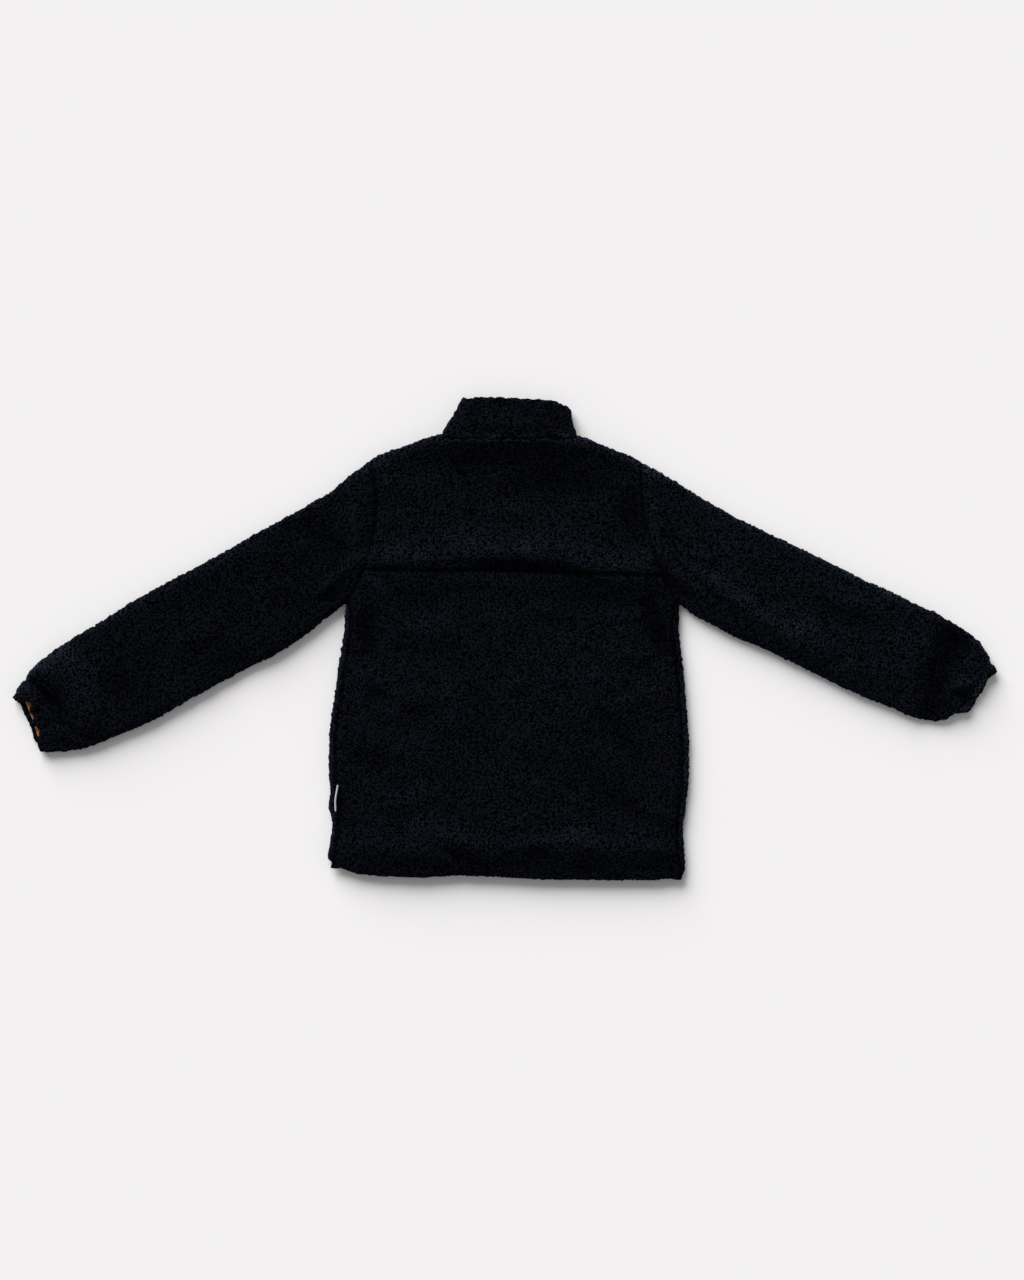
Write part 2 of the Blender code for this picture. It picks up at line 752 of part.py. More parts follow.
def collar_layers(height):
    """One row of the collar, from the left front edge round the neck to the right front edge."""
    row = []
    raised = Vector((0, NECK_SEAM * (1 - height)))

    def blend(base, top):
        return base.lerp(top, height) + raised

    def half(side):
        base = front_neck_points(side) + [fold_centre(side.neck, side.neck_fold)]
        tops = [collar_top_front(side, share) for share in shares(len(base) - 1)]
        plan = [blend(a, b) for a, b in zip(base, tops)]
        pairs = [lower(point.x, point.y, COLLAR_WALL) for point in plan]
        pairs[0] = rolled(pairs[0])
        return pairs, plan[-1]

    def turn(side, middle, downwards):
        turned = min(1.0, height / COLLAR_TURN)
        facing = side.neck_fold.lerp(side.collar_fold, turned).normalized()
        steps = range(1, FOLD_STEPS)
        at = [k / FOLD_STEPS if downwards else 1 - k / FOLD_STEPS for k in steps]
        return [fold(middle, facing, share, COLLAR_FOLD, COLLAR_WALL) for share in at]

    left, left_middle = half(LEFT)
    right, right_middle = half(RIGHT)
    row += left + turn(LEFT, left_middle, False)
    for share in shares(NECK_COLUMNS):
        point = blend(neck_seam(share), collar_top_back(share))
        row.append(upper(point.x, point.y, 2 * COLLAR_FOLD, COLLAR_WALL))
    row += turn(RIGHT, right_middle, True) + right[::-1]
    return row


def make_collar(cloth, collection):
    rows = [collar_layers(height) for height in COLLAR_ROWS]
    rows[-1] = [rolled(pair) for pair in rows[-1]]
    return wall("collar", rows, cloth, collection)


# ---- label and zip -------------------------------------------------------------------------------
def make_label(cloth, collection):
    """A folded loop of tape that stands up out of the left side seam."""
    rows = []
    for height in (0.0, 0.5, 1.0):
        row = []
        for y, lean in zip(LABEL_EDGE["y"], LABEL_EDGE["lean"]):
            facing = Vector((LABEL_TOP - LABEL_FOOT, 0, lean)).normalized()
            foot = Vector((back_edge(LEFT, y), y, LABEL_FOOT))
            top = Vector((back_edge(LEFT, y) - lean, y, LABEL_TOP))
            row.append(skins(foot.lerp(top, height), facing, LABEL_WALL))
        rows.append(row)
    return wall("side_label", rows, cloth, collection)


def across_zip(width, levels, low, high):
    """Two corners of a box on the zip's line."""
    half = width / 2
    return (CENTRE_FRONT - half, low, levels[0]), (CENTRE_FRONT + half, high, levels[1])


def make_zip(tape, metal, collection, guides):
    for name, side in (("zip_tape_left", LEFT), ("zip_tape_right", RIGHT)):
        xs = sorted(CENTRE_FRONT + side.sign * x for x in (SEAM / 2, TAPE_WIDTH))
        low = (xs[0], ZIP_HEM, TAPE_LEVELS[0])
        high = (xs[1], ZIP_TOP, TAPE_LEVELS[1])
        block(name, low, high, tape, collection)
    block("zip_chain", *across_zip(CHAIN_WIDTH, CHAIN_LEVELS, ZIP_HEM, ZIP_TOP), tape, collection)

    half = SLIDER_SIZE[1] / 2
    ends = (SLIDER_AT - half, SLIDER_AT + half)
    slider = block("zip_slider", *across_zip(SLIDER_SIZE[0], SLIDER_LEVELS, *ends), metal, collection)
    half = BAIL_SIZE[1] / 2
    levels = (BAIL_LOW, SLIDER_LEVELS[0] + BAIL_ROOT)
    bail_box = across_zip(BAIL_SIZE[0], levels, SLIDER_AT - half, SLIDER_AT + half)
    bail = block("zip_bail_guide", *bail_box, metal, guides)
    half -= BAIL_WIRE
    levels = (BAIL_LOW + BAIL_WIRE, SLIDER_LEVELS[0])
    tunnel_box = across_zip(BAIL_SIZE[0] + 2 * CUTTER_EXTRA, levels, SLIDER_AT - half, SLIDER_AT + half)
    tunnel = block("zip_tunnel_guide", *tunnel_box, metal, guides)
    combine(slider, bail, "UNION")
    combine(slider, tunnel, "DIFFERENCE")

    bar = (PULL_LEVELS[1] - PULL_LEVELS[0]) / 2
    far = SLIDER_AT + bar - PULL_SIZE[1]
    pull_box = across_zip(PULL_SIZE[0], PULL_LEVELS, far, SLIDER_AT + bar)
    pull = block("zip_pull", *pull_box, metal, collection)
    levels = (PULL_LEVELS[0] - CUTTER_EXTRA, PULL_LEVELS[1] + CUTTER_EXTRA)
    window_box = across_zip(PULL_WINDOW[0], levels, SLIDER_AT - bar - PULL_WINDOW[1], SLIDER_AT - bar)
    window = block("zip_window_guide", *window_box, metal, guides)
    combine(pull, window, "DIFFERENCE")


# ---- the jacket ----------------------------------------------------------------------------------
def clear_scene():
    for thing in list(bpy.data.objects):
        bpy.data.objects.remove(thing, do_unlink=True)


def centre_footprint(collection, guides):
    """Moves everything so that the middle of the plan box is at the origin."""
    bpy.context.view_layer.update()
    corners = [p.matrix_world @ v.co for p in collection.objects for v in p.data.vertices]
    middle_x = (max(c.x for c in corners) + min(c.x for c in corners)) / 2
    middle_y = (max(c.y for c in corners) + min(c.y for c in corners)) / 2
    for thing in list(collection.objects) + list(guides.objects):
        for vert in thing.data.vertices:
            vert.co -= Vector((middle_x, middle_y, 0))


def main():
    clear_scene()
    collection = bpy.data.collections.new("teddy_jacket")
    guides = bpy.data.collections.new("guides")
    for group in (collection, guides):
        bpy.context.scene.collection.children.link(group)
    teddy = paint("navy_black_teddy", (0.004, 0.005, 0.008), 0.95)
    tan = paint("tan_lining", (0.36, 0.14, 0.045), 0.9)
    pale = paint("label_tape", (0.62, 0.62, 0.62), 0.7)
    tape = paint("zip_tape", (0.006, 0.007, 0.01), 0.8)
    metal = paint("dark_zip_metal", (0.03, 0.03, 0.033), 0.4, 1.0)

    make_yoke(teddy, collection)
    make_back(teddy, collection)
    for name, side in (("left", LEFT), ("right", RIGHT)):
        make_front(name, side, teddy, collection)
        make_sleeve(name, side, teddy, collection)
        make_cuff(name, side, teddy, collection)
    make_cuff_lining("left", LEFT, tan, collection)
    make_collar(teddy, collection)
    make_label(pale, collection)
    make_zip(tape, metal, collection, guides)
    centre_footprint(collection, guides)


main()
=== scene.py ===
"""The looks of a child's navy-black teddy jacket, laid flat on its front.

Every piece of cloth is a closed wall on its solid's form: a voxel remesh gives it an even, fine mesh, soft
creases are pressed into it, its edges are tucked into the seams, and a Geometry Nodes group raises
the curly pile. Sizes are in metres, and the tables of creases are in millimetres.
"""
import math

import bmesh
import bpy
import numpy as np
from bpy.props import FloatProperty, FloatVectorProperty, IntProperty, PointerProperty
from bpy.types import Operator, Panel, PropertyGroup
from mathutils import Matrix, Vector
from mathutils.bvhtree import BVHTree


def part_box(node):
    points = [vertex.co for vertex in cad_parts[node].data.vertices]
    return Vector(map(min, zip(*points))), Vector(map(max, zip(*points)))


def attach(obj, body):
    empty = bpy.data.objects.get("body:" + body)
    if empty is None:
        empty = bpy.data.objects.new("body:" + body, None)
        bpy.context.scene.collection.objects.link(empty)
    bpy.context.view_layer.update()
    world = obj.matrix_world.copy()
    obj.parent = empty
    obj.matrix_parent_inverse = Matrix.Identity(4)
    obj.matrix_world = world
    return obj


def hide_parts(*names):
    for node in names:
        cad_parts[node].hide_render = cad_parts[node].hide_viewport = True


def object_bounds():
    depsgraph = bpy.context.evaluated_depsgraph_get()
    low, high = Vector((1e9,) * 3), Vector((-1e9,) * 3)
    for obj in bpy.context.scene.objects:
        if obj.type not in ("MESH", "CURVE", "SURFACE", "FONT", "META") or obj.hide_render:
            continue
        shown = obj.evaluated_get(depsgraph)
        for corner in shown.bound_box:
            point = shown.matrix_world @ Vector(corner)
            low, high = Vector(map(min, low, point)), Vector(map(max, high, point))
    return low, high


bl_info = {
    "name": "Teddy jacket looks",
    "version": (1, 0, 0),
    "blender": (4, 5, 0),
    "location": "View3D > Sidebar > Teddy jacket",
    "description": "Curly pile, creases, trim and stage for a teddy jacket laid flat",
    "category": "Object",
}

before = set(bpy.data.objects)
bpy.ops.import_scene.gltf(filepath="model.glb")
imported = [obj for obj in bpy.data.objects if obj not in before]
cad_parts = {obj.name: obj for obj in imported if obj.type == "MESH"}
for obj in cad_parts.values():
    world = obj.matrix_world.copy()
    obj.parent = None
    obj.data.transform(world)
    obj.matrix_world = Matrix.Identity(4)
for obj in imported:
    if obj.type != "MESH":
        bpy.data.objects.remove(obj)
CAD_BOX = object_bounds()
MM = 0.001
FOLD_STEPS = 24
STROKE_REACH = 2.6  # widths of a stroke beyond which it is left out
STROKE_ENDS = 0.6  # how bluntly a stroke fades to its ends
PILE_LEVEL = 0.38  # level of the curl pattern that stays on the solid's skin
FLOOR_LEVEL = 0.8  # level of the curl pattern that rests on the floor
UPPER_LAYER = (4.0, 9.5)  # heights between which a fold of the upper layer takes hold
UNDER_LAYER = (2.0, 8.0)
PAINTED_LIGHT_LAYER = (1.0, 5.0)
PUSHED_LAYER = (6.0, 9.0)
PAINTED_LIGHT_RANGE = (0.3, 3.0)  # darkest and lightest that the painted light and shade make the pile's colour
# the darkest that the painted shade in a trough makes the pile's colour
DARKEST_PAINTED_TROUGH_SHADE = 0.5
DEEPEST_TROUGH = 6.5  # so that the upper layer stays above the layer on the floor
DEEPEST_AT_CUFF = 4.5
WAVES_PER_M = 32.0
PUCKERS_PER_M = 90.0
TUFTS_PER_M = 210.0
DRIFTS_PER_M = 65.0  # drifts of the pile's colour
SHADES_PER_M = 24.0  # and of its lightness
SEAM_PAINTED_SHADE = 0.85  # painted shade: how much darker the pile's colour is painted in the bottom of a seam
RIM_PAINTED_HIGHLIGHT = (1.5, 1.8, 2.5)  # painted rim highlight: how much lighter the pile's colour is painted, in red, green and blue, where the cloth bends down at the outline
EDGE_PASSES = 50
OFF_THE_FACE = 0.0011  # where the look out from a face starts, so that it misses the sewn neighbour
LOOK_OUT = 0.06
INSIDE_BELOW = 0.02  # share of shown skin below which a point lies inside the jacket
COARSENED = 0.97  # share of the points inside that is taken away
COARSEN_FIRST = 1000.0
LAP_REACH = 3 * MM  # how near a neighbour an edge is pressed into it
LAP_FACING = 0.7  # and how squarely it faces it
LINING_CURL = 0.0025
LINING_HEIGHT = 0.0007
TAPE_RIB = 0.0016
LABEL_RIB = 0.0012
FLOOR_SIZE = 30.0
FLOOR_DROP = 0.0002
SENSOR_HEIGHT = 36.0
VIEW_MIDDLE = (0.009, -0.0011)

CLOTH_NODES = ("back", "back_yoke", "front_left", "front_right", "sleeve_left", "sleeve_right",
               "cuff_left", "cuff_right", "collar")


# ---- what a user would change --------------------------------------------------------------------
class ClothSettings(PropertyGroup):
    top_spacing: FloatProperty(
        name="Mesh spacing", description="Spacing of the fine mesh on the cloth that shows most",
        default=0.00132, min=0.001, max=0.01, unit="LENGTH")
    under_spacing: FloatProperty(
        name="Underside spacing", description="Spacing of the fine mesh on the fronts",
        default=0.0017, min=0.001, max=0.01, unit="LENGTH")
    height_finer: FloatProperty(
        name="Finer in height", description="How much finer than in plan the mesh is made in height, so "
        "that the thin space inside a sleeve or cuff stays open", default=2.0, min=1.0, max=4.0)
    smoothing: IntProperty(
        name="Smoothing", description="Smoothing passes that round the edges of the cut", default=12,
        min=0, max=60)
    seam_width: FloatProperty(
        name="Seam width", description="How far from a seam the cloth turns down into it",
        default=0.0048, min=0.0, max=0.03, unit="LENGTH")
    seam_depth: FloatProperty(
        name="Seam depth", description="How deep the cloth is drawn in at a seam",
        default=0.0024, min=0.0, max=0.01, unit="LENGTH")
    fold_strength: FloatProperty(
        name="Fold strength", description="How high the folds in the tables are made", default=1.5,
        min=0.0, max=4.0)
    seam_lap: FloatProperty(
        name="Seam lap", description="How far two sewn edges are pressed into each other",
        default=0.0009, min=0.0, max=0.003, unit="LENGTH")


class PileSettings(PropertyGroup):
    curl: FloatProperty(
        name="Curl size", description="Width of one curl of the pile", default=0.0023, min=0.001, max=0.02,
        unit="LENGTH")
    edge_curl: FloatProperty(
        name="Collar curl size", description="Width of one curl on the collar and cuffs", default=0.0024,
        min=0.001, max=0.02, unit="LENGTH")
    height: FloatProperty(
        name="Curl height", description="From the bottom of the pile to the top of a curl", default=0.0013,
        min=0.0, max=0.02, unit="LENGTH")
    unevenness: FloatProperty(
        name="Unevenness", description="Height of the slow waves in the cloth", default=0.0018,
        min=0.0, max=0.02, unit="LENGTH")
    tufts: FloatProperty(
        name="Tufts", description="How far tufts of pile stand out at the jacket's outline", default=0.0075,
        min=0.0, max=0.03, unit="LENGTH")
    tip: FloatVectorProperty(
        name="Tip colour", description="Colour of the curls' tops", subtype="COLOR", size=4, min=0, max=1,
        default=(0.0064, 0.0079, 0.0112, 1))
    # painted shade: the root colour is near black where shade falls between the curls
    root: FloatVectorProperty(
        name="Root colour", description="Colour between the curls", subtype="COLOR", size=4, min=0, max=1,
        default=(0.0001, 0.0001, 0.0004, 1))


class TrimSettings(PropertyGroup):
    lining: FloatVectorProperty(
        name="Lining", description="Colour of the cuff's tan lining", subtype="COLOR", size=4, min=0, max=1,
        default=(0.55, 0.22, 0.07, 1))
    label: FloatVectorProperty(
        name="Label", description="Colour of the blank side label", subtype="COLOR", size=4, min=0, max=1,
        default=(0.62, 0.62, 0.64, 1))
    tape: FloatVectorProperty(
        name="Zip tape", description="Colour of the zip's tape and teeth", subtype="COLOR", size=4,
        min=0, max=1, default=(0.006, 0.007, 0.010, 1))
    metal: FloatVectorProperty(
        name="Zip metal", description="Colour of the slider and its pull", subtype="COLOR", size=4,
        min=0, max=1, default=(0.05, 0.05, 0.055, 1))
    tooth_pitch: FloatProperty(
        name="Tooth pitch", description="Spacing of the zip's teeth on one side", default=0.0029,
        min=0.001, max=0.01, unit="LENGTH")


class StageSettings(PropertyGroup):
    floor: FloatVectorProperty(
        name="Floor", description="Colour of the floor", subtype="COLOR", size=4, min=0, max=1,
        default=(0.90, 0.885, 0.885, 1))
    key: FloatProperty(
        name="Key share", description="Share of the light on the floor that comes from the key lamp",
        default=0.68, min=0.0, max=1.0, subtype="FACTOR")
    key_height: FloatProperty(
        name="Key height", description="How high the key lamp stands over the collar side",
        default=math.radians(30), min=0.1, max=1.5, unit="ROTATION")
    key_turn: FloatProperty(
        name="Key turn", description="How far the key lamp stands from the collar towards the left sleeve",
        default=math.radians(26), min=-3.2, max=3.2, unit="ROTATION")
    key_softness: FloatProperty(
        name="Key softness", description="Angle that the key lamp covers", default=math.radians(48),
        min=0.0, max=1.5, unit="ROTATION")
    view_height: FloatProperty(
        name="View height", description="Length of floor from the top to the bottom of the picture",
        default=1.536, min=0.1, unit="LENGTH")
    lens: FloatProperty(
        name="Lens", description="Focal length of the camera", default=85.0, min=10.0, unit="CAMERA")


# ---- node helpers --------------------------------------------------------------------------------
def add(tree, kind, inputs=None, **settings):
    """A node with its settings, and its inputs set or linked."""
    node = tree.nodes.new(kind)
    for name, value in settings.items():
        setattr(node, name, value)
    for name, value in (inputs or {}).items():
        socket = node.inputs[name]
        if isinstance(value, bpy.types.NodeSocket):
            tree.links.new(value, socket)
        else:
            socket.default_value = value
    return node


def chained(tree, kind, operation, values):
    """The first output of a maths node whose inputs are filled in order."""
    node = tree.nodes.new(kind)
    node.operation = operation
    for socket, value in zip(node.inputs, values):
        if isinstance(value, bpy.types.NodeSocket):
            tree.links.new(value, socket)
        else:
            socket.default_value = value
    return node.outputs[0]


def maths(tree, operation, *values):
    return chained(tree, "ShaderNodeMath", operation, values)


def vector_maths(tree, operation, *values):
    return chained(tree, "ShaderNodeVectorMath", operation, values)


def scaled(tree, vector, factor):
    return add(tree, "ShaderNodeVectorMath", {0: vector, "Scale": factor}, operation="SCALE").outputs[0]


def noise(tree, place, scale, detail, **more):
    values = {"Vector": place, "Scale": scale, "Detail": detail, **more}
    return add(tree, "ShaderNodeTexNoise", values).outputs[0]


def product(tree, first, *factors):
    for factor in factors:
        first = maths(tree, "MULTIPLY", first, factor)
    return first


def colour_ramp(tree, value, *stops):
    """A ramp between two stops, each a position and a colour."""
    ramp = add(tree, "ShaderNodeValToRGB", {"Fac": value})
    for element, (position, colour) in zip(ramp.color_ramp.elements, stops):
        element.position = position
        element.color = colour
    return ramp.outputs[0]


def relief(tree, shader, height, strength, distance):
    bump = add(tree, "ShaderNodeBump", {"Height": height, "Strength": strength, "Distance": distance})
    tree.links.new(bump.outputs[0], shader.inputs["Normal"])


def set_inputs(shader, **values):
    """Sets a shader's inputs, named with _ for a space."""
    for name, value in values.items():
        shader.inputs[name.replace("_", " ")].default_value = value


# ---- the pile ------------------------------------------------------------------------------------
def curl_pattern(tree, place, per_curl):
    """Irregular curls, 0 between them and 1 on the highest, and a random colour for each: the same in
    geometry and in materials."""
    wander = add(tree, "ShaderNodeTexNoise", {
        "Vector": place, "Scale": maths(tree, "MULTIPLY", per_curl, 0.8), "Detail": 1.0}).outputs["Color"]
    wander = vector_maths(tree, "SUBTRACT", wander, (0.5, 0.5, 0.5))
    bent = vector_maths(tree, "ADD", place, scaled(tree, wander, maths(tree, "DIVIDE", 0.9, per_curl)))
    cells = add(tree, "ShaderNodeTexVoronoi", {
        "Vector": bent, "Scale": per_curl, "Smoothness": 0.2, "Randomness": 1.0},
        feature="SMOOTH_F1").outputs
    apart = maths(tree, "MULTIPLY", cells["Distance"], 1.25)
    round_top = maths(tree, "SUBTRACT", 1.0, maths(tree, "POWER", apart, 2.0))
    uneven = noise(tree, place, maths(tree, "MULTIPLY", per_curl, 1.1), 1.0)
    uneven = maths(tree, "MULTIPLY_ADD", uneven, 1.0, 0.5)
    return maths(tree, "MAXIMUM", maths(tree, "MULTIPLY", round_top, uneven), 0.0), cells["Color"]


def pile_group():
    """A Geometry Nodes group that raises the curls along the normals where the cloth shows, draws the seams
    in, and keeps the rest position and the seams for the material."""
    name = "curly_pile"
    if name in bpy.data.node_groups:
        return bpy.data.node_groups[name]
    tree = bpy.data.node_groups.new(name, "GeometryNodeTree")
    tree.interface.new_socket("Geometry", in_out="INPUT", socket_type="NodeSocketGeometry")
    for field in ("Curl", "Height", "Seam depth", "Unevenness", "Tufts"):
        tree.interface.new_socket(field, in_out="INPUT", socket_type="NodeSocketFloat")
    tree.interface.new_socket("Geometry", in_out="OUTPUT", socket_type="NodeSocketGeometry")
    start = tree.nodes.new("NodeGroupInput")
    place = tree.nodes.new("GeometryNodeInputPosition").outputs[0]
    normal = tree.nodes.new("GeometryNodeInputNormal").outputs[0]
    shown, seam, edge = (
        add(tree, "GeometryNodeInputNamedAttribute", {"Name": name}, data_type="FLOAT").outputs[0]
        for name in ("shown", "seam", "edge"))

    per_curl = maths(tree, "DIVIDE", 1.0, start.outputs["Curl"])
    pile, _ = curl_pattern(tree, place, per_curl)
    free = maths(tree, "MULTIPLY_ADD", seam, -0.6, 1.0)
    lift = product(tree, maths(tree, "SUBTRACT", pile, PILE_LEVEL), start.outputs["Height"], free)
    waves = noise(tree, place, WAVES_PER_M, 2.0)
    waves = maths(tree, "MULTIPLY", maths(tree, "SUBTRACT", waves, 0.5), start.outputs["Unevenness"])
    tufts = noise(tree, place, TUFTS_PER_M, 1.5)
    tufts = maths(tree, "MULTIPLY", maths(tree, "SUBTRACT", tufts, 0.5), start.outputs["Tufts"])
    waves = maths(tree, "ADD", waves, maths(tree, "MULTIPLY", tufts, edge))
    pucker = maths(tree, "MULTIPLY_ADD", noise(tree, place, PUCKERS_PER_M, 1.0), 1.6, 0.2)
    drawn = product(tree, seam, pucker, start.outputs["Seam depth"])
    upright = add(tree, "ShaderNodeSeparateXYZ", {0: normal}).outputs[2]
    sunk = add(tree, "ShaderNodeCombineXYZ", {"Z": maths(tree, "MULTIPLY", drawn, upright)}).outputs[0]
    raised = scaled(tree, normal, maths(tree, "ADD", lift, maths(tree, "MULTIPLY", waves, free)))
    offset = scaled(tree, vector_maths(tree, "SUBTRACT", raised, sunk), shown)

    stored = add(tree, "GeometryNodeStoreNamedAttribute", {
        "Geometry": start.outputs["Geometry"], "Name": "rest", "Value": place},
        data_type="FLOAT_VECTOR", domain="POINT").outputs[0]
    stored = add(tree, "GeometryNodeStoreNamedAttribute", {
        "Geometry": stored, "Name": "per_curl", "Value": per_curl},
        data_type="FLOAT", domain="POINT").outputs[0]
    moved = add(tree, "GeometryNodeSetPosition", {"Geometry": stored, "Offset": offset}).outputs[0]
    end = tree.nodes.new("NodeGroupOutput")
    tree.links.new(moved, end.inputs[0])
    return tree


def raise_pile(piece, **values):
    """Runs the pile group on a piece, with its inputs named as in the group, with _ for a space."""
    step = piece.modifiers.new("pile", "NODES")
    step.node_group = pile_group()
    for item in step.node_group.interface.items_tree:
        name = item.name.lower().replace(" ", "_")
        if item.in_out == "INPUT" and name in values:
            step[item.identifier] = values[name]
    settle(piece)


# ---- materials -----------------------------------------------------------------------------------
def new_material(name):
    material = bpy.data.materials.new(name)
    material.use_nodes = True
    return material, material.node_tree, material.node_tree.nodes["Principled BSDF"]


def teddy_material(name, tip, root, hue=1.0):
    """Curly pile: painted shade makes it near black between the curls, and it is lighter on them. Each curl
    has its own lightness and leans to teal or plum, with slow drifts of both over the cloth and fine fibres
    on top. Painted shade darkens the seams and troughs, painted light and shade is laid in strokes and by
    piece, and a painted rim highlight lightens the bends at the outline."""
    if name in bpy.data.materials:
        return bpy.data.materials[name]
    material, tree, shader = new_material(name)
    rest = add(tree, "ShaderNodeAttribute", attribute_name="rest").outputs["Vector"]
    per_curl, seam, nap, brushed, edge = (
        add(tree, "ShaderNodeAttribute", attribute_name=name).outputs["Fac"]
        for name in ("per_curl", "seam", "nap", "brushed", "edge"))
    pile, own = curl_pattern(tree, rest, per_curl)
    own = add(tree, "ShaderNodeSeparateColor", {"Color": own}).outputs
    fibres = noise(tree, rest, maths(tree, "MULTIPLY", per_curl, 3.4), 2.0, Distortion=1.2)

    # painted shade: near black between the curls, where shade falls, and lighter on their tops
    curls = colour_ramp(tree, pile, (0.28, root), (1.0, tip))
    drift = noise(tree, rest, DRIFTS_PER_M, 2.0)
    lean = maths(tree, "MULTIPLY_ADD", own[0], 0.6, maths(tree, "MULTIPLY", drift, 0.4))
    teal = (1 - 0.20 * hue, 1 + 0.05 * hue, 1.0, 1)
    plum = (1 + 0.15 * hue, 1 - 0.07 * hue, 1 + 0.03 * hue, 1)
    tint = colour_ramp(tree, lean, (0.3, teal), (0.7, plum))
    # painted shade in the seams, painted light and shade from the strokes, troughs and pieces, with random
    # drifts, curls and fibres
    shade = product(
        tree, maths(tree, "MULTIPLY_ADD", noise(tree, rest, SHADES_PER_M, 3.0), 0.62, 0.69),
        maths(tree, "MULTIPLY_ADD", maths(tree, "POWER", seam, 1.4), -SEAM_PAINTED_SHADE, 1.0),
        maths(tree, "MULTIPLY", nap, brushed), maths(tree, "MULTIPLY_ADD", own[1], 0.7, 0.65),
        maths(tree, "MULTIPLY_ADD", fibres, 1.6, 0.2))
    # painted rim highlight, bluish, where the cloth bends down at the outline
    rim_painted_highlight = vector_maths(tree, "MULTIPLY_ADD", scaled(tree, RIM_PAINTED_HIGHLIGHT, edge), (1, 1, 1), (1, 1, 1))
    colour = vector_maths(tree, "MULTIPLY", vector_maths(tree, "MULTIPLY", curls, tint), rim_painted_highlight)
    tree.links.new(scaled(tree, colour, shade), shader.inputs["Base Color"])
    relief(tree, shader, maths(tree, "MULTIPLY_ADD", fibres, 0.45, pile), 0.8, 0.0004)
    set_inputs(shader, Roughness=0.95, Specular_IOR_Level=0.01, Sheen_Weight=0.04, Sheen_Roughness=0.3,
               Sheen_Tint=(0.45, 0.6, 1.0, 1))
    return material


def lining_material():
    colour = bpy.context.scene.teddy_trim.lining
    # painted shade between the lining's curls
    dark = (colour[0] * 0.5, colour[1] * 0.36, colour[2] * 0.3, 1)
    material = teddy_material("tan_lining_pile", colour, dark, hue=0.2)
    set_inputs(material.node_tree.nodes["Principled BSDF"], Sheen_Weight=0.1, Sheen_Tint=(1.0, 0.85, 0.7, 1))
    return material


def pile_material():
    pile = bpy.context.scene.teddy_pile
    return teddy_material("navy_black_pile", pile.tip, pile.root)


def darker(colour, share):
    return (colour[0] * share, colour[1] * share, colour[2] * share, 1)


def tape_material(name, colour, rib, roughness=0.75):
    """Woven tape: ribs across two directions and a faint unevenness of colour."""
    if name in bpy.data.materials:
        return bpy.data.materials[name]
    material, tree, shader = new_material(name)
    place = add(tree, "ShaderNodeTexCoord").outputs["Object"]
    weave = product(tree, *(
        add(tree, "ShaderNodeTexWave", {"Vector": place, "Scale": 1.0 / rib, "Distortion": 0.4},
            bands_direction=way).outputs["Fac"] for way in "XY"))
    uneven = noise(tree, place, 220.0, 3.0)
    woven = colour_ramp(tree, maths(tree, "MULTIPLY_ADD", weave, 0.4, uneven),
                        (0.3, darker(colour, 0.72)), (0.9, colour))
    tree.links.new(woven, shader.inputs["Base Color"])
    relief(tree, shader, weave, 0.5, 0.0003)
    set_inputs(shader, Roughness=roughness, Specular_IOR_Level=0.25)
    return material


def metal_material():
    name = "dark_zip_metal"
    if name in bpy.data.materials:
        return bpy.data.materials[name]
    material, tree, shader = new_material(name)
    colour = bpy.context.scene.teddy_trim.metal
    place = add(tree, "ShaderNodeTexCoord").outputs["Object"]
    worn = noise(tree, place, 900.0, 4.0)
    rubbed = colour_ramp(tree, worn, (0.0, darker(colour, 0.6)), (1.0, darker(colour, 1.6)))
    tree.links.new(rubbed, shader.inputs["Base Color"])
    tree.links.new(maths(tree, "MULTIPLY_ADD", worn, 0.25, 0.28), shader.inputs["Roughness"])
    relief(tree, shader, worn, 0.15, 0.0001)
    set_inputs(shader, Metallic=1.0)
    return material


# ---- making cloth from a solid -------------------------------------------------------------------
def solid_copy(node, name):
    """A welded copy of a solid as a new object."""
    mesh_of = bmesh.new()
    mesh_of.from_mesh(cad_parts[node].data)
    bmesh.ops.remove_doubles(mesh_of, verts=mesh_of.verts, dist=1e-5)
    mesh = bpy.data.meshes.new(name)
    mesh_of.to_mesh(mesh)
    mesh_of.free()
    piece = bpy.data.objects.new(name, mesh)
    bpy.context.scene.collection.objects.link(piece)
    return piece


def settle(piece):
    """Replaces a piece's mesh by what its modifiers make of it."""
    bpy.context.view_layer.update()
    shaped = piece.evaluated_get(bpy.context.evaluated_depsgraph_get())
    mesh = bpy.data.meshes.new_from_object(shaped, preserve_all_data_layers=True,
                                           depsgraph=bpy.context.evaluated_depsgraph_get())
    old = piece.data
    piece.modifiers.clear()
    piece.data = mesh
    mesh.name = piece.name
    bpy.data.meshes.remove(old)


def tree_of(nodes):
    """One search tree over the faces of several solids."""
    points, faces = [], []
    for node in nodes:
        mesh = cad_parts[node].data
        first = len(points)
        points += [v.co.copy() for v in mesh.vertices]
        faces += [[first + i for i in face.vertices] for face in mesh.polygons]
    return BVHTree.FromPolygons(points, faces)


def facing_out(node, obstacles):
    """A search tree of a solid's faces, and which of them see free space."""
    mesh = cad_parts[node].data
    points = [v.co.copy() for v in mesh.vertices]
    faces = [tuple(face.vertices) for face in mesh.polygons]
    free = []
    for face in mesh.polygons:
        hit = obstacles.ray_cast(face.center + face.normal * OFF_THE_FACE, face.normal, LOOK_OUT)
        free.append(hit[0] is None)
    return BVHTree.FromPolygons(points, faces), free


def coordinates(mesh):
    places = np.empty(len(mesh.vertices) * 3)
    mesh.vertices.foreach_get("co", places)
    return places.reshape(-1, 3)


def normals(mesh):
    values = np.empty(len(mesh.vertices) * 3, np.float32)
    mesh.vertex_normals.foreach_get("vector", values)
    return values.reshape(-1, 3).astype(float)


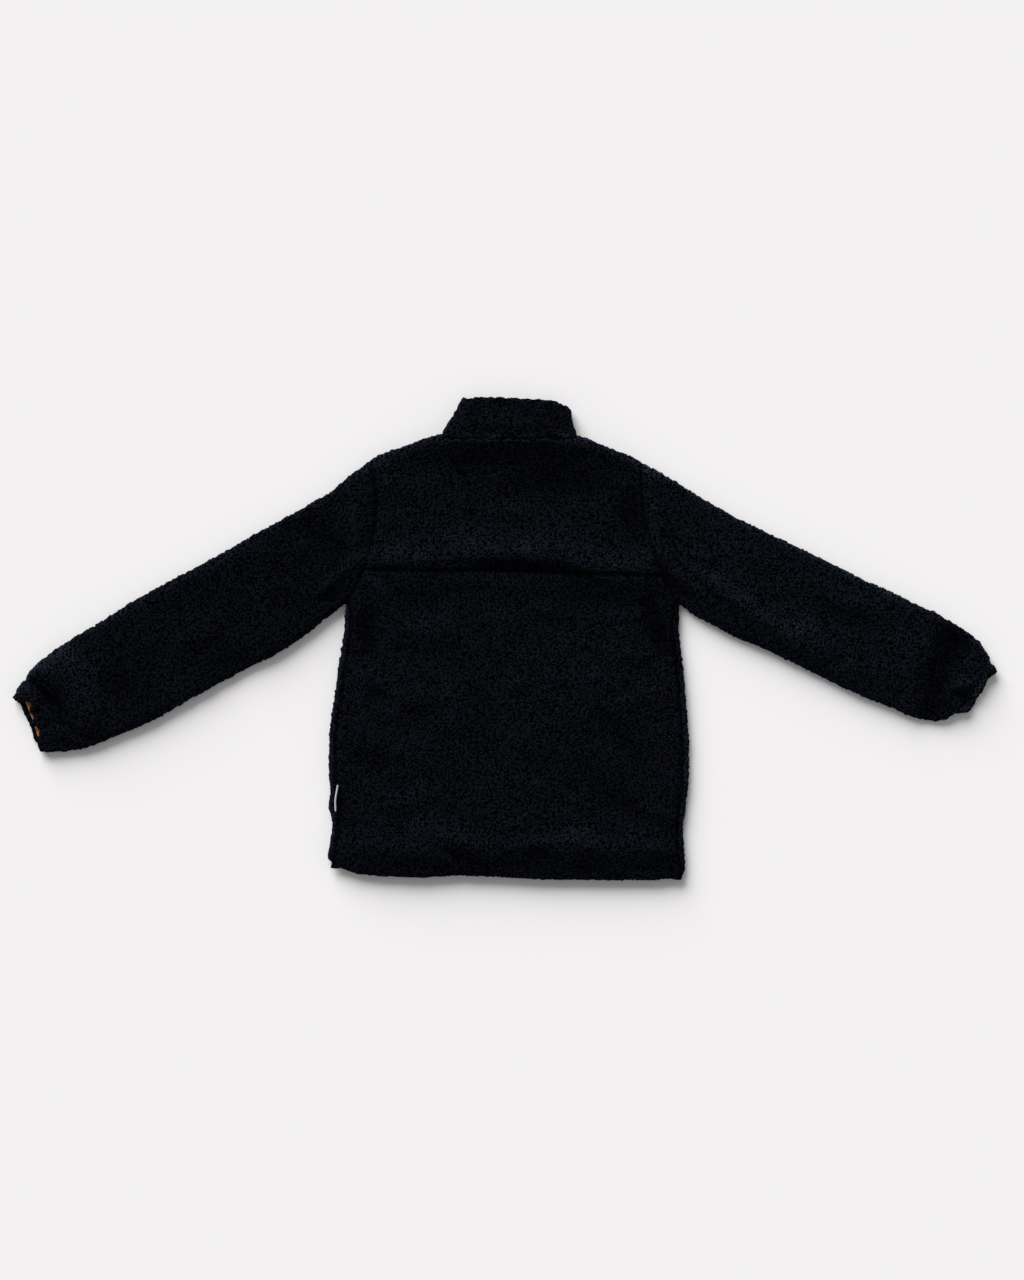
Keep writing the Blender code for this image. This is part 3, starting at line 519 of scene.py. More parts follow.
def put_coordinates(mesh, places):
    mesh.vertices.foreach_set("co", places.ravel())
    mesh.update()


def mark_shown(piece, node):
    """1 on the skin that faces free space, 0 on the skin inside the jacket."""
    near, free = facing_out(node, tree_of(CLOTH_NODES))
    return np.array([1.0 if free[near.find_nearest(v.co)[2]] else 0.0 for v in piece.data.vertices])


def soften(mesh, values, passes):
    """Averages a value over the mesh's edges."""
    ends = np.empty(len(mesh.edges) * 2, np.int64)
    mesh.edges.foreach_get("vertices", ends)
    a, b = ends.reshape(-1, 2).T
    count = np.bincount(a, minlength=len(values)) + np.bincount(b, minlength=len(values))
    for _ in range(passes):
        total = np.bincount(a, values[b], len(values)) + np.bincount(b, values[a], len(values))
        values = (values + total / np.maximum(count, 1)) / 2
    return values


def dress(piece, material):
    piece.data.materials.clear()
    piece.data.materials.append(material)


def store(mesh, name, values):
    attribute = mesh.attributes.get(name) or mesh.attributes.new(name, "FLOAT", "POINT")
    attribute.data.foreach_set("value", values.astype(np.float32))


def fine_wall(node, name, spacing):
    """The solid as an even fine mesh, coarse again on the side inside the jacket."""
    cloth = bpy.context.scene.teddy_cloth
    piece = solid_copy(node, name)
    taller = Matrix.Diagonal((1, 1, cloth.height_finer, 1))
    piece.data.transform(taller)
    step = piece.modifiers.new("even", "REMESH")
    step.mode = "VOXEL"
    step.voxel_size = spacing
    step.use_smooth_shade = True
    settle(piece)
    piece.data.transform(taller.inverted())
    if cloth.smoothing:
        step = piece.modifiers.new("round", "SMOOTH")
        step.factor = 0.5
        step.iterations = cloth.smoothing
    settle(piece)
    shown = mark_shown(piece, node)
    hidden = piece.vertex_groups.new(name="hidden")
    spread = soften(piece.data, shown, 3)
    inside = np.flatnonzero(spread < INSIDE_BELOW)
    hidden.add(inside.tolist(), 1.0, "REPLACE")
    step = piece.modifiers.new("coarsen", "DECIMATE")
    step.vertex_group = "hidden"
    step.vertex_group_factor = COARSEN_FIRST
    step.ratio = 1.0 - COARSENED * len(inside) / len(shown)
    store(piece.data, "shown", spread)
    settle(piece)
    return piece


# ---- creases -------------------------------------------------------------------------------------
def table(columns, *rows):
    return [dict(zip(columns.split(), row)) for row in rows]


FOLD = "x0 y0 x1 y1 x2 y2 width rise"
UPPER_FOLDS = table(
    FOLD,
    # the neck: the seam of the collar stands up, and the yoke falls away from it
    (-170, 232, 0, 250, 180, 232, 27, 7.0),
    (-72, 237, 5, 239, 86, 238, 4, 1.6),
    (-10, 182, 65, 170, 145, 186, 17, -2.6),
    (-160, 178, -118, 184, -78, 178, 14, 2.0),
    (-15, 150, 12, 158, 38, 146, 12, 1.4),
    # the fold that droops over the yoke's seam, and the back rising to it
    (-195, 94, -120, 91, -50, 96, 14, 2.8),
    (-90, 104, 0, 106, 90, 101, 13, 2.0),
    (56, 93, 122, 76, 198, 82, 16, 3.4),
    (-190, 70, -110, 66, -30, 72, 24, 2.6),
    (-50, 72, 20, 70, 90, 68, 20, 3.0),
    (60, 68, 125, 58, 196, 68, 21, 3.2),
    (-168, 87, -135, 85, -106, 86, 4, -1.2),
    (-50, 88, 20, 87, 90, 80, 5, -1.6),
    (84, 80, 104, 70, 128, 62, 6, -1.6),
    (-147, 114, -146, 100, -148, 86, 5, -1.8),
    (-109, 116, -108, 100, -110, 84, 5, -2.0),
    (-70, 118, -72, 100, -69, 84, 5, -1.6),
    (-48, 122, -50, 110, -47, 98, 5, -1.4),
    (20, 122, 22, 110, 19, 98, 6, -1.2),
    (113, 114, 110, 98, 114, 82, 6, -1.8),
    (154, 112, 152, 96, 155, 82, 6, -1.4),
    (-172, 48, -112, 36, -50, 50, 13, -1.2),
    (-122, 62, -112, 40, -106, 18, 9, -1.2),
    (62, 48, 125, 34, 186, 46, 13, -1.6),
    (-72, 66, -54, 71, -36, 66, 8, 1.5),
    (36, 36, 55, 38, 74, 34, 10, 1.4),
    # the left side of the back
    (-160, 40, -167, 12, -160, -28, 11, -5.6),
    (-180, 94, -150, 48, -116, 6, 8, 2.4),
    (-142, 10, -100, 10, -42, 18, 12, 1.6),
    (-140, -22, -98, -14, -52, -20, 14, -1.8),
    (-176, -40, -148, -50, -112, -84, 9, 2.6),
    (-132, -74, -95, -75, -58, -68, 12, 2.4),
    (-60, -56, -56, -84, -63, -114, 9, 2.4),
    (-160, -60, -148, -71, -134, -80, 8, -2.2),
    (-138, -98, -116, -109, -92, -100, 12, -1.8),
    (-182, -138, -159, -150, -138, -144, 12, -2.8),
    (-152, -210, -122, -196, -84, -180, 12, 2.0),
    (-138, -180, -118, -172, -98, -166, 9, -1.8),
    (-150, -132, -128, -137, -110, -134, 8, 1.2),
    # the middle and the right side of the back
    (-4, -64, 12, -56, 30, -48, 8, 2.0),
    (50, -47, 66, -44, 82, -50, 8, 1.5),
    (42, 24, 62, 14, 84, 2, 9, -1.8),
    (100, -42, 122, -53, 144, -62, 9, 1.8),
    (138, -14, 158, -23, 178, -24, 8, 1.8),
    (170, 50, 182, 14, 198, -26, 11, -6.0),
    (138, -82, 160, -74, 182, -62, 9, 1.8),
    (160, -52, 181, -70, 188, -98, 10, 2.8),
    (104, -84, 143, -110, 168, -164, 10, -4.4),
    (18, -138, 33, -152, 38, -172, 10, -2.0),
    (84, -142, 116, -178, 176, -228, 10, -3.8),
    (60, -98, 78, -104, 104, -96, 9, 1.4),
    (158, -196, 185, -217, 208, -214, 9, 2.4),
    # the hem: bulges above it, and its roll
    (-194, -240, -165, -245, -138, -240, 12, 2.2),
    (-114, -226, -88, -231, -64, -226, 12, 2.4),
    (-80, -230, -52, -247, -24, -252, 9, 3.6),
    (-2, -224, 15, -227, 34, -222, 9, 1.8),
    (18, -246, 45, -247, 74, -242, 9, 2.0),
    (68, -234, 98, -247, 122, -258, 11, 3.8),
    (148, -240, 172, -253, 198, -258, 9, 2.8),
    (-218, -258, -100, -253, -10, -257, 13, 2.6),
    (-50, -255, 60, -250, 220, -257, 13, 3.0),
    (-84, -248, -62, -262, -38, -268, 8, -2.4),
    (12, -252, 35, -263, 62, -256, 9, -2.2),
    (68, -262, 82, -270, 97, -268, 5, 1.2),
    # the armholes
    (148, 184, 149, 150, 162, 112, 12, -3.8),
    (172, 204, 178, 160, 204, 94, 7, 3.2),
    (-177, 170, -175, 136, -172, 110, 9, 2.2),
    (-262, 148, -220, 134, -188, 88, 13, -3.0),
    (-166, 100, -196, 81, -230, 50, 5, 2.6),
    (-186, 60, -206, 50, -224, 44, 7, -2.4),
    # the left sleeve
    (-264, 108, -250, 110, -234, 104, 10, 1.4),
    (-380, 0, -350, 16, -320, 22, 14, 1.8),
    (-408, -16, -385, -6, -362, 8, 12, 1.6),
    (-452, -14, -430, -8, -408, 0, 12, 1.4),
    (-486, -62, -455, -62, -420, -50, 20, -2.6),
    (-354, -36, -325, -34, -296, -20, 12, -2.0),
    (-290, 62, -275, 66, -258, 60, 10, 1.4),
    (-540, -8, -505, -50, -492, -116, 16, 5.0),
    # the right sleeve
    (180, 92, 208, 58, 240, 30, 7, -3.2),
    (232, 76, 248, 54, 264, 38, 6, -2.6),
    (198, 88, 226, 58, 248, 30, 6, 2.6),
    (218, 82, 262, 58, 316, 18, 12, 4.4),
    (300, 26, 340, 2, 390, -30, 13, 3.8),
    (342, 16, 368, 4, 404, -22, 10, 2.8),
    (270, 114, 305, 98, 350, 72, 14, 2.0),
    (225, 104, 240, 100, 256, 92, 9, 1.4),
    (350, 56, 395, 30, 450, 10, 10, -2.4),
    (392, 52, 430, 38, 470, 18, 12, 2.2),
    (405, -32, 425, -36, 448, -48, 12, 1.6),
    (472, 12, 488, -30, 490, -86, 10, 2.0),
    # the cuffs' gathers
    (-576, -46, -546, -55, -532, -76, 9, -3.0),
    (-579, -48, -556, -49, -540, -64, 4, -1.6),
    (-541, -62, -537, -78, -524, -95, 5, -1.6),
    (-552, -70, -534, -88, -512, -104, 8, -2.8),
    (-522, -112, -505, -119, -492, -120, 7, -2.2),
    (-580, -60, -566, -70, -560, -88, 5, 1.8),
    (-548, -104, -540, -112, -528, -118, 6, 1.6),
    (552, 26, 528, -18, 508, -108, 15, -5.0),
    (522, 6, 545, -9, 564, -18, 10, -2.2),
    (528, -26, 549, -19, 570, -28, 4, -2.0),
    (577, -50, 564, -62, 561, -78, 3, 1.2),
    (562, -78, 558, -84, 548, -84, 3, 1.0),
    (526, -60, 550, -59, 582, -48, 7, 3.0),
    (538, -62, 552, -73, 564, -75, 7, -3.8),
    # the collar
    (-48, 246, -18, 248, 12, 246, 7, -1.6),
    (-44, 262, 10, 260, 62, 262, 12, 1.4),
    (54, 264, 68, 256, 76, 244, 8, -1.6),
)
UNDER_FOLDS = table(
    FOLD,
    (-180, 70, -140, 50, -70, 62, 14, 1.8),
    (60, 66, 120, 44, 190, 56, 14, 2.0),
    (-160, -40, -110, -60, -50, -50, 12, 1.4),
    (60, -90, 110, -70, 170, -96, 12, 1.6),
    (-190, -150, -130, -172, -60, -160, 12, 1.4),
    (40, -190, 100, -176, 180, -200, 12, 1.6),
    (-200, -262, -110, -256, -20, -262, 6, 1.4),
    (30, -264, 120, -258, 208, -264, 6, 1.4),
    (-280, 100, -240, 70, -210, 60, 9, 2.4),
    (210, 62, 240, 70, 290, 96, 9, 2.4),
    (-470, -60, -430, -30, -380, -20, 14, 1.8),
    (330, 40, 380, 20, 440, 0, 14, 1.8),
    (-560, -60, -545, -80, -530, -110, 8, 2.6),
    (540, 0, 525, -30, 518, -80, 9, 2.8),
)


# small turns of the outline, in plan: the cloth round x, y moves by dx, dy
PUSHES = table(
    "x y reach dx dy",
    (-209, -100, 35, -1.2, 0), (-209, -165, 35, -1.3, 0), (221, -60, 40, 1.1, 0), (221, -125, 40, 1.3, 0),
    (220, -182, 28, 0.6, 0), (-150, -287, 45, 0, 0.9), (-60, -287, 45, 0, 1.0), (30, -288, 45, 0, 1.0),
    (120, -290, 45, 0, 0.9), (-207, -201, 11, -2.6, 0), (-562, -117, 9, -1.8, -0.6),
    (-209, -268, 10, -2.0, -2.0), (212, -284, 10, 1.6, -2.8), (207, -279, 6, 3.0, -4.0),
    (-203, -272, 5, -2.6, -1.6), (-192, 38, 12, 0.5, 3.4), (-186, 16, 16, 1.4, 0),
    (213, 42, 12, -0.5, 3.0), (206, 16, 16, -1.3, 0), (-212, 177, 16, 1.2, -2.8),
    (-148, 217, 20, -0.6, 2.8), (119, 229, 24, -0.6, -2.6), (166, 206, 14, -0.6, -1.6),
    (-42, 286, 12, -1.2, 3.4), (70, 281, 12, 0.1, 3.4), (-45, 287, 7, 0, 3.0), (77, 278, 5, -1.5, -1.5),
    (84, 257, 16, -2.6, 0), (-69, 254, 14, 1.8, 0), (-30, 241, 18, 0, 1.4), (10, 240, 20, 0, 2.4),
    (48, 241, 18, 0, 2.4), (-214, 24, 18, 0, 2.4), (-261, -8, 22, 0, -1.8), (-440, -108, 30, 0, -1.2),
    (330, -20, 45, 0, 0.9), (430, -62, 45, 0, 0.9), (496, -98, 16, 0, -1.6), (-576, -50, 5, 2.0, -1.8),
    (-588, -68, 8, -1.8, -1.8), (-581, -78, 4, 2.0, 1.0), (-538, -136, 16, 0, 2.0),
    (562, -82, 10, 2.2, -3.0), (574, -63, 10, 1.8, -1.0), (588, -40, 8, 1.4, -1.2), (543, -93, 9, 0, 3.4),
    (589, -39, 7, 2.6, 0), (581, -28, 5, -2.0, -0.6),
)


# painted light and shade: strokes where the pile's colour is painted darker (below 0) or lighter than
# elsewhere, as the light falls on the folds and rims
PAINTED_LIGHT_AND_SHADE = table(
    "x0 y0 x1 y1 x2 y2 width share",
    (-118, 222, 10, 227, 138, 222, 18, -0.42), (-5, 192, 60, 196, 128, 188, 15, -0.30),
    (-170, 108, -120, 104, -70, 108, 12, 0.40), (-80, 112, 0, 114, 80, 110, 13, 0.32),
    (72, 101, 125, 94, 186, 95, 17, 0.44), (-62, 124, -46, 126, -30, 122, 12, 0.18),
    (-52, 90, 20, 91, 92, 84, 7, -0.60), (84, 80, 104, 70, 130, 62, 6, -0.35),
    (-162, 86, -145, 84, -126, 86, 4, -0.3), (-158, 72, -100, 66, -40, 74, 14, -0.14),
    (60, 70, 120, 58, 186, 66, 15, -0.14), (-165, 36, -164, 12, -158, -24, 12, -0.40),
    (175, 44, 186, 12, 198, -26, 12, -0.40), (148, 184, 149, 150, 160, 118, 12, -0.34),
    (173, 194, 174, 160, 190, 118, 5, 0.24), (180, 98, 190, 74, 218, 50, 6, -0.25),
    (188, 154, 194, 132, 204, 104, 8, -0.22), (180, 100, 204, 62, 226, 44, 8, -0.20),
    (-246, 142, -212, 126, -190, 98, 14, -0.16), (-168, 98, -196, 76, -226, 52, 5, 0.34),
    (-226, 50, -206, 46, -188, 46, 7, -0.36), (226, 84, 300, 42, 396, -12, 14, 0.36),
    (340, 14, 366, 6, 404, -20, 10, 0.16), (440, -10, 470, -14, 500, -24, 16, 0.12),
    (366, 46, 400, 32, 440, 18, 10, -0.10), (216, 40, 350, -30, 486, -92, 10, -0.26),
    (-524, -6, -508, -50, -492, -104, 18, 0.75), (-512, -6, -542, -27, -582, -50, 13, 1.7),
    (-572, -50, -580, -60, -586, -74, 7, 0.9), (-576, -46, -550, -56, -534, -86, 8, -0.42),
    (-577, -47, -552, -56, -544, -78, 3.5, -0.5), (-542, -52, -536, -68, -532, -92, 3.5, -0.5),
    (-540, -88, -526, -98, -512, -108, 7, -0.30), (-578, -60, -566, -74, -558, -90, 5, 0.30),
    (544, 22, 522, -24, 508, -104, 16, -0.52), (528, 12, 546, -4, 566, -16, 12, -0.42),
    (520, -70, 535, -80, 548, -88, 8, -0.25), (536, -48, 555, -46, 574, -46, 6, 0.30),
    (582, -46, 566, -62, 562, -83, 4, 2.4), (562, -80, 558, -87, 546, -87, 4, 2.0),
    (540, -66, 552, -70, 564, -72, 6, -0.34), (-152, -44, -128, -72, -118, -102, 13, 0.34),
    (-60, -58, -57, -88, -62, -116, 9, 0.30), (174, -56, 184, -88, 187, -122, 12, 0.34),
    (-140, 14, -100, 14, -60, 8, 12, 0.16), (40, -50, 70, -46, 120, -54, 12, 0.14),
    (130, -98, 154, -124, 166, -168, 11, -0.20), (60, -158, 96, -170, 152, -206, 13, -0.14),
    (-104, 2, -60, -20, -18, -30, 15, -0.12), (-124, -222, -84, -226, -42, -238, 12, 0.30),
    (56, -226, 94, -234, 128, -242, 13, 0.18), (-194, -244, -166, -240, -138, -246, 10, 0.16),
    (-206, -271, 0, -272, 212, -275, 9, -0.46), (-84, -248, -58, -252, -34, -260, 8, -0.26),
    (18, -252, 36, -255, 56, -252, 8, -0.20), (216, -30, 222, -140, 214, -256, 6, 0.70),
    (-196, -50, -208, -160, -206, -262, 5, 0.35), (-74, 244, -150, 218, -212, 170, 6, 0.45),
    (86, 240, 150, 218, 204, 188, 6, 0.55), (-215, 160, -380, 72, -500, 8, 6, 0.35),
    (204, 188, 360, 105, 500, 36, 6, 0.35), (556, 14, 578, -10, 588, -38, 6, 0.60),
    (-84, 247, 0, 231, 92, 247, 4.5, 1.3), (56, 236, 78, 242, 100, 238, 6, 1.6),
    (-86, 234, -72, 241, -54, 242, 5, 0.4), (150, 216, 168, 206, 186, 193, 6, 0.6),
    (-174, 200, -158, 209, -138, 218, 5, 0.5), (-198, 174, -188, 156, -176, 126, 12, 0.22),
    (-180, -140, -160, -148, -140, -144, 10, -0.14), (-138, -202, -112, -190, -88, -180, 9, 0.34),
)
CUFF_SEAMS = (440, 480)  # beyond this distance from the middle, the seams are flatter
CUFF_SEAM_FLATTER = 0.75
HOLLOW_PAINTED_SHADE = 0.06  # painted shade: how much darker the pile's colour is painted for each millimetre that a trough sinks


# the same for the upper layer only, at the mouths of the cuffs
UPPER_PUSHES = table(
    "x y reach dx dy",
    (-576, -78, 6.5, 8.5, 1.5), (-563.5, -101, 3.6, -5.0, -2.2), (-559, -112, 4.5, 2.6, 0.6),
    (568, -61, 7, -2.8, 0.8), (561, -78, 7, -2.8, 1.0),
)


def push_outline(piece):
    places = coordinates(piece.data)
    plan = places[:, :2].copy()
    upper = smooth_step(places[:, 2], *PUSHED_LAYER)
    for rows, layer in ((PUSHES, np.ones(len(places))), (UPPER_PUSHES, upper)):
        for row in rows:
            away = np.linalg.norm(plan / MM - (row["x"], row["y"]), axis=1)
            share = np.exp(-(away / row["reach"]) ** 2) * layer
            places[:, :2] += share[:, None] * np.array((row["dx"], row["dy"])) * MM
    put_coordinates(piece.data, places)


def fold_field(places, rows, amount="rise"):
    """The sum of soft-edged strokes drawn on the jacket from above, each fading to its ends."""
    up = np.zeros(len(places))
    for row in rows:
        start, middle, end = (np.array((row[f"x{i}"], row[f"y{i}"])) * MM for i in range(3))
        width = row["width"] * MM
        low = np.minimum(np.minimum(start, middle), end) - STROKE_REACH * width
        high = np.maximum(np.maximum(start, middle), end) + STROKE_REACH * width
        near = np.flatnonzero(((places[:, :2] > low) & (places[:, :2] < high)).all(1))
        if not len(near):
            continue
        plan = places[near, :2]
        away, where = np.full(len(near), np.inf), np.zeros(len(near))
        line = [(1 - t) ** 2 * start + 2 * t * (1 - t) * middle + t * t * end
                for t in np.linspace(0, 1, FOLD_STEPS + 1)]
        for i, (a, b) in enumerate(zip(line, line[1:])):
            along = np.clip((plan - a) @ (b - a) / ((b - a) @ (b - a)), 0, 1)
            apart = np.linalg.norm(plan - a - along[:, None] * (b - a), axis=1)
            closer = apart < away
            away[closer] = apart[closer]
            where[closer] = (i + along[closer]) / FOLD_STEPS
        ends = np.sin(math.pi * where) ** STROKE_ENDS
        up[near] += row[amount] * np.exp(-(away / width) ** 2) * ends
    return up


def read(mesh, name):
    values = np.empty(len(mesh.vertices), np.float32)
    mesh.attributes[name].data.foreach_get("value", values)
    return values.astype(float)


def smooth_step(values, low, high):
    share = np.clip((values - low * MM) / ((high - low) * MM), 0, 1)
    return share * share * (3 - 2 * share)


def press_folds(piece):
    """Presses the folds into the upper layer of the jacket, and others into the layer on the floor, and
    stores the painted light and shade of the strokes and the painted shade of the troughs.
    """
    places = coordinates(piece.data)
    upper = smooth_step(places[:, 2], *UPPER_LAYER)
    under = 1 - smooth_step(places[:, 2], *UNDER_LAYER)
    strength = bpy.context.scene.teddy_cloth.fold_strength
    rise = fold_field(places, UPPER_FOLDS) * upper + fold_field(places, UNDER_FOLDS) * under
    # painted light and shade from the strokes, on the upper layer
    brushed = 1 + fold_field(places, PAINTED_LIGHT_AND_SHADE, "share") * smooth_step(places[:, 2], *PAINTED_LIGHT_LAYER)
    rise *= strength
    near_cuff = smooth_step(np.abs(places[:, 0]), *CUFF_SEAMS)
    deepest = DEEPEST_TROUGH + (DEEPEST_AT_CUFF - DEEPEST_TROUGH) * near_cuff
    rise = np.where(rise < 0, -deepest * np.tanh(-rise / deepest), rise)
    # painted shade: the deeper a trough sinks, the darker the pile's colour is painted
    sunk = 1 + HOLLOW_PAINTED_SHADE * np.minimum(rise, 0)
    store(piece.data, "brushed", np.clip(brushed, *PAINTED_LIGHT_RANGE) * np.clip(sunk, DARKEST_PAINTED_TROUGH_SHADE, 1))
    places[:, 2] += rise * MM
    put_coordinates(piece.data, places)


def mark_edges(piece):
    """Marks where the cloth bends down at the jacket's outline: the tufts stand out there, and the pile's
    colour is painted lighter there as a painted rim highlight.
    """
    outside = (read(piece.data, "shown") > 0.5) & (read(piece.data, "seam") < 0.05)
    tilt = np.where(outside, 1 - np.abs(normals(piece.data)[:, 2]), 0.0)
    store(piece.data, "edge", soften(piece.data, tilt, EDGE_PASSES))


def mark_seams(piece, neighbours):
    """Marks the cloth beside its seams, and presses its edges onto those of the other pieces."""
    cloth = bpy.context.scene.teddy_cloth
    near = tree_of(neighbours)
    width = cloth.seam_width
    places, facing = coordinates(piece.data), normals(piece.data)
    away = np.full(len(places), width)
    towards = np.zeros_like(places)
    for i, place in enumerate(places):
        found = near.find_nearest(place, width)
        if found[0] is not None:
            away[i] = found[3]
            towards[i] = found[0] - Vector(place)
    seam = soften(piece.data, (1 - away / width) ** 1.5, 2)
    near_cuff = smooth_step(np.abs(places[:, 0]), *CUFF_SEAMS)
    store(piece.data, "seam", seam * (1 - CUFF_SEAM_FLATTER * near_cuff))
    length = np.maximum(np.linalg.norm(towards, axis=1), 1e-9)
    edge = (towards / length[:, None] * facing).sum(1) > LAP_FACING
    lap = np.where(edge & (away < LAP_REACH), length + cloth.seam_lap, 0.0)
    places += towards / length[:, None] * lap[:, None]
    put_coordinates(piece.data, places)


def lift_from_floor(piece, height):
    """Makes room for the pile under the cloth, so that the tips of its curls rest on the floor."""
    places, facing = coordinates(piece.data), normals(piece.data)
    places[:, 2] += height * np.clip(-facing[:, 2], 0, 1) * read(piece.data, "shown")
    put_coordinates(piece.data, places)


def rest_on_floor(piece):
    places = coordinates(piece.data)
    places[:, 2] = np.maximum(places[:, 2], 0.0)
    put_coordinates(piece.data, places)


NEIGHBOURS = {
    "back": ("back_yoke", "sleeve_left", "sleeve_right", "front_left", "front_right"),
    "back_yoke": ("back", "sleeve_left", "sleeve_right", "collar", "front_left", "front_right"),
    "front_left": ("back", "back_yoke", "sleeve_left", "collar"),
    "front_right": ("back", "back_yoke", "sleeve_right", "collar"),
    "sleeve_left": ("back", "back_yoke", "front_left", "cuff_left"),
    "sleeve_right": ("back", "back_yoke", "front_right", "cuff_right"),
    "cuff_left": ("sleeve_left",),
    "cuff_right": ("sleeve_right",),
    "collar": ("back_yoke", "front_left", "front_right"),
}
# painted light and shade for each piece: a whole piece is painted darker or lighter by how the light falls on
# it
PIECE_PAINTED_SHADE = {"sleeve_left": 0.86, "sleeve_right": 1.14, "cuff_left": 0.9, "cuff_right": 1.08, "collar": 0.8}


def make_cloth(node, curl, under=False):
    """One piece of teddy cloth in place of its solid."""
    scene = bpy.context.scene
    cloth, pile = scene.teddy_cloth, scene.teddy_pile
    piece = fine_wall(node, node + "_cloth", cloth.under_spacing if under else cloth.top_spacing)
    mark_seams(piece, NEIGHBOURS[node])
    mark_edges(piece)
    push_outline(piece)
    press_folds(piece)
    lift_from_floor(piece, pile.height * (FLOOR_LEVEL - PILE_LEVEL))
    raise_pile(piece, curl=curl, height=pile.height, seam_depth=cloth.seam_depth, unevenness=pile.unevenness,
               tufts=pile.tufts)
    rest_on_floor(piece)
    # painted light and shade of the whole piece
    store(piece.data, "nap", np.full(len(piece.data.vertices), PIECE_PAINTED_SHADE.get(node, 1.0)))
    dress(piece, pile_material())
    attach(piece, "root")
    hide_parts(node)
    return piece


# ---- operators -----------------------------------------------------------------------------------
class TEDDY_OT_back(Operator):
    """Makes the back and the yoke above it"""
    bl_idname = "teddy.back"
    bl_label = "Back and yoke"

    def execute(self, context):
        curl = context.scene.teddy_pile.curl
        make_cloth("back", curl)
        make_cloth("back_yoke", curl)
        return {"FINISHED"}


class TEDDY_OT_fronts(Operator):
    """Makes the two fronts, which lie on the floor and wrap up round the sides"""
    bl_idname = "teddy.fronts"
    bl_label = "Fronts"

    def execute(self, context):
        for side in ("left", "right"):
            make_cloth("front_" + side, context.scene.teddy_pile.curl,
                       under=True)
        return {"FINISHED"}


class TEDDY_OT_sleeves(Operator):
    """Makes the two sleeves"""
    bl_idname = "teddy.sleeves"
    bl_label = "Sleeves"

    def execute(self, context):
        for side in ("left", "right"):
            make_cloth("sleeve_" + side, context.scene.teddy_pile.curl)
        return {"FINISHED"}


class TEDDY_OT_cuffs(Operator):
    """Makes the two gathered cuffs"""
    bl_idname = "teddy.cuffs"
    bl_label = "Cuffs"

    def execute(self, context):
        for side, flat in (("left", (0.23, 0.045)), ("right", (0.25, 0.055))):
            make_cloth("cuff_" + side, context.scene.teddy_pile.edge_curl)
        return {"FINISHED"}


class TEDDY_OT_collar(Operator):
    """Makes the stand collar"""
    bl_idname = "teddy.collar"
    bl_label = "Collar"

    def execute(self, context):
        make_cloth("collar", context.scene.teddy_pile.edge_curl)
        return {"FINISHED"}


LINING_INWARD = (2.6, 1.5)  # how far the lining's edge is drawn into the cuff
LINING_FLATTER = 0.2


class TEDDY_OT_lining(Operator):
    """Makes the tan lining that shows in the left cuff"""
    bl_idname = "teddy.lining"
    bl_label = "Cuff lining"

    def execute(self, context):
        piece = solid_copy("cuff_lining_left", "cuff_lining_cloth")
        step = piece.modifiers.new("finer", "SUBSURF")
        step.subdivision_type = "SIMPLE"
        step.levels = step.render_levels = 2
        settle(piece)
        places = coordinates(piece.data) + np.array((*LINING_INWARD, 0)) * MM
        foot = places[:, 2].min()
        places[:, 2] = foot + LINING_FLATTER * (places[:, 2] - foot)
        put_coordinates(piece.data, places)
        push_outline(piece)
        for name, value in (("brushed", 1.0), ("edge", 0.0), ("shown", 1.0), ("seam", 0.0), ("nap", 1.0)):
            store(piece.data, name, np.full(len(piece.data.vertices), value))
        raise_pile(piece, curl=LINING_CURL, height=LINING_HEIGHT, seam_depth=0.0, unevenness=0.0, tufts=0.0)
        piece.data.shade_smooth()
        dress(piece, lining_material())
        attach(piece, "root")
        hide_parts("cuff_lining_left")
        return {"FINISHED"}


LABEL_LINE = table("x y", (-199.6, -174.4), (-200.6, -181), (-201.8, -187.5), (-202.8, -193.5),
                   (-202.4, -199.5), (-202.2, -206.4))
LABEL_PLY = 0.5
LABEL_WIDTH = 2.0


class TEDDY_OT_label(Operator):
    """Makes the blank label, a folded loop of tape that stands in the left side seam"""
    bl_idname = "teddy.label"
    bl_label = "Side label"

    def execute(self, context):
        low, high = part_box("side_label")
        half = (LABEL_WIDTH - LABEL_PLY) / 2
        foot, top = low.z / MM, high.z / MM
        loop = [(-half, foot), (-half, top - half)]
        loop += [(-half * math.cos(a), top - half + half * math.sin(a))
                 for a in np.linspace(0, math.pi, 7)[1:-1]]
        loop += [(half, top - half), (half, foot)]
        rows = [[Vector((row["x"] + across, row["y"], height)) * MM for across, height in loop]
                for row in LABEL_LINE]
        mesh = bpy.data.meshes.new("side_label_tape")
        count = len(loop)
        faces = [(i * count + j, i * count + j + 1, (i + 1) * count + j + 1, (i + 1) * count + j)
                 for i in range(len(rows) - 1) for j in range(count - 1)]
        mesh.from_pydata([point for row in rows for point in row], [], faces)
        piece = bpy.data.objects.new("side_label_tape", mesh)
        bpy.context.scene.collection.objects.link(piece)
        thick = piece.modifiers.new("ply", "SOLIDIFY")
        thick.thickness = LABEL_PLY * MM
        thick.offset = 0.0
        step = piece.modifiers.new("finer", "SUBSURF")
        step.levels = step.render_levels = 2
        settle(piece)
        piece.data.shade_smooth()
        colour = context.scene.teddy_trim.label
        piece.data.materials.append(tape_material("pale_label_tape", colour, LABEL_RIB))
        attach(piece, "root")
        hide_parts("side_label")
        return {"FINISHED"}


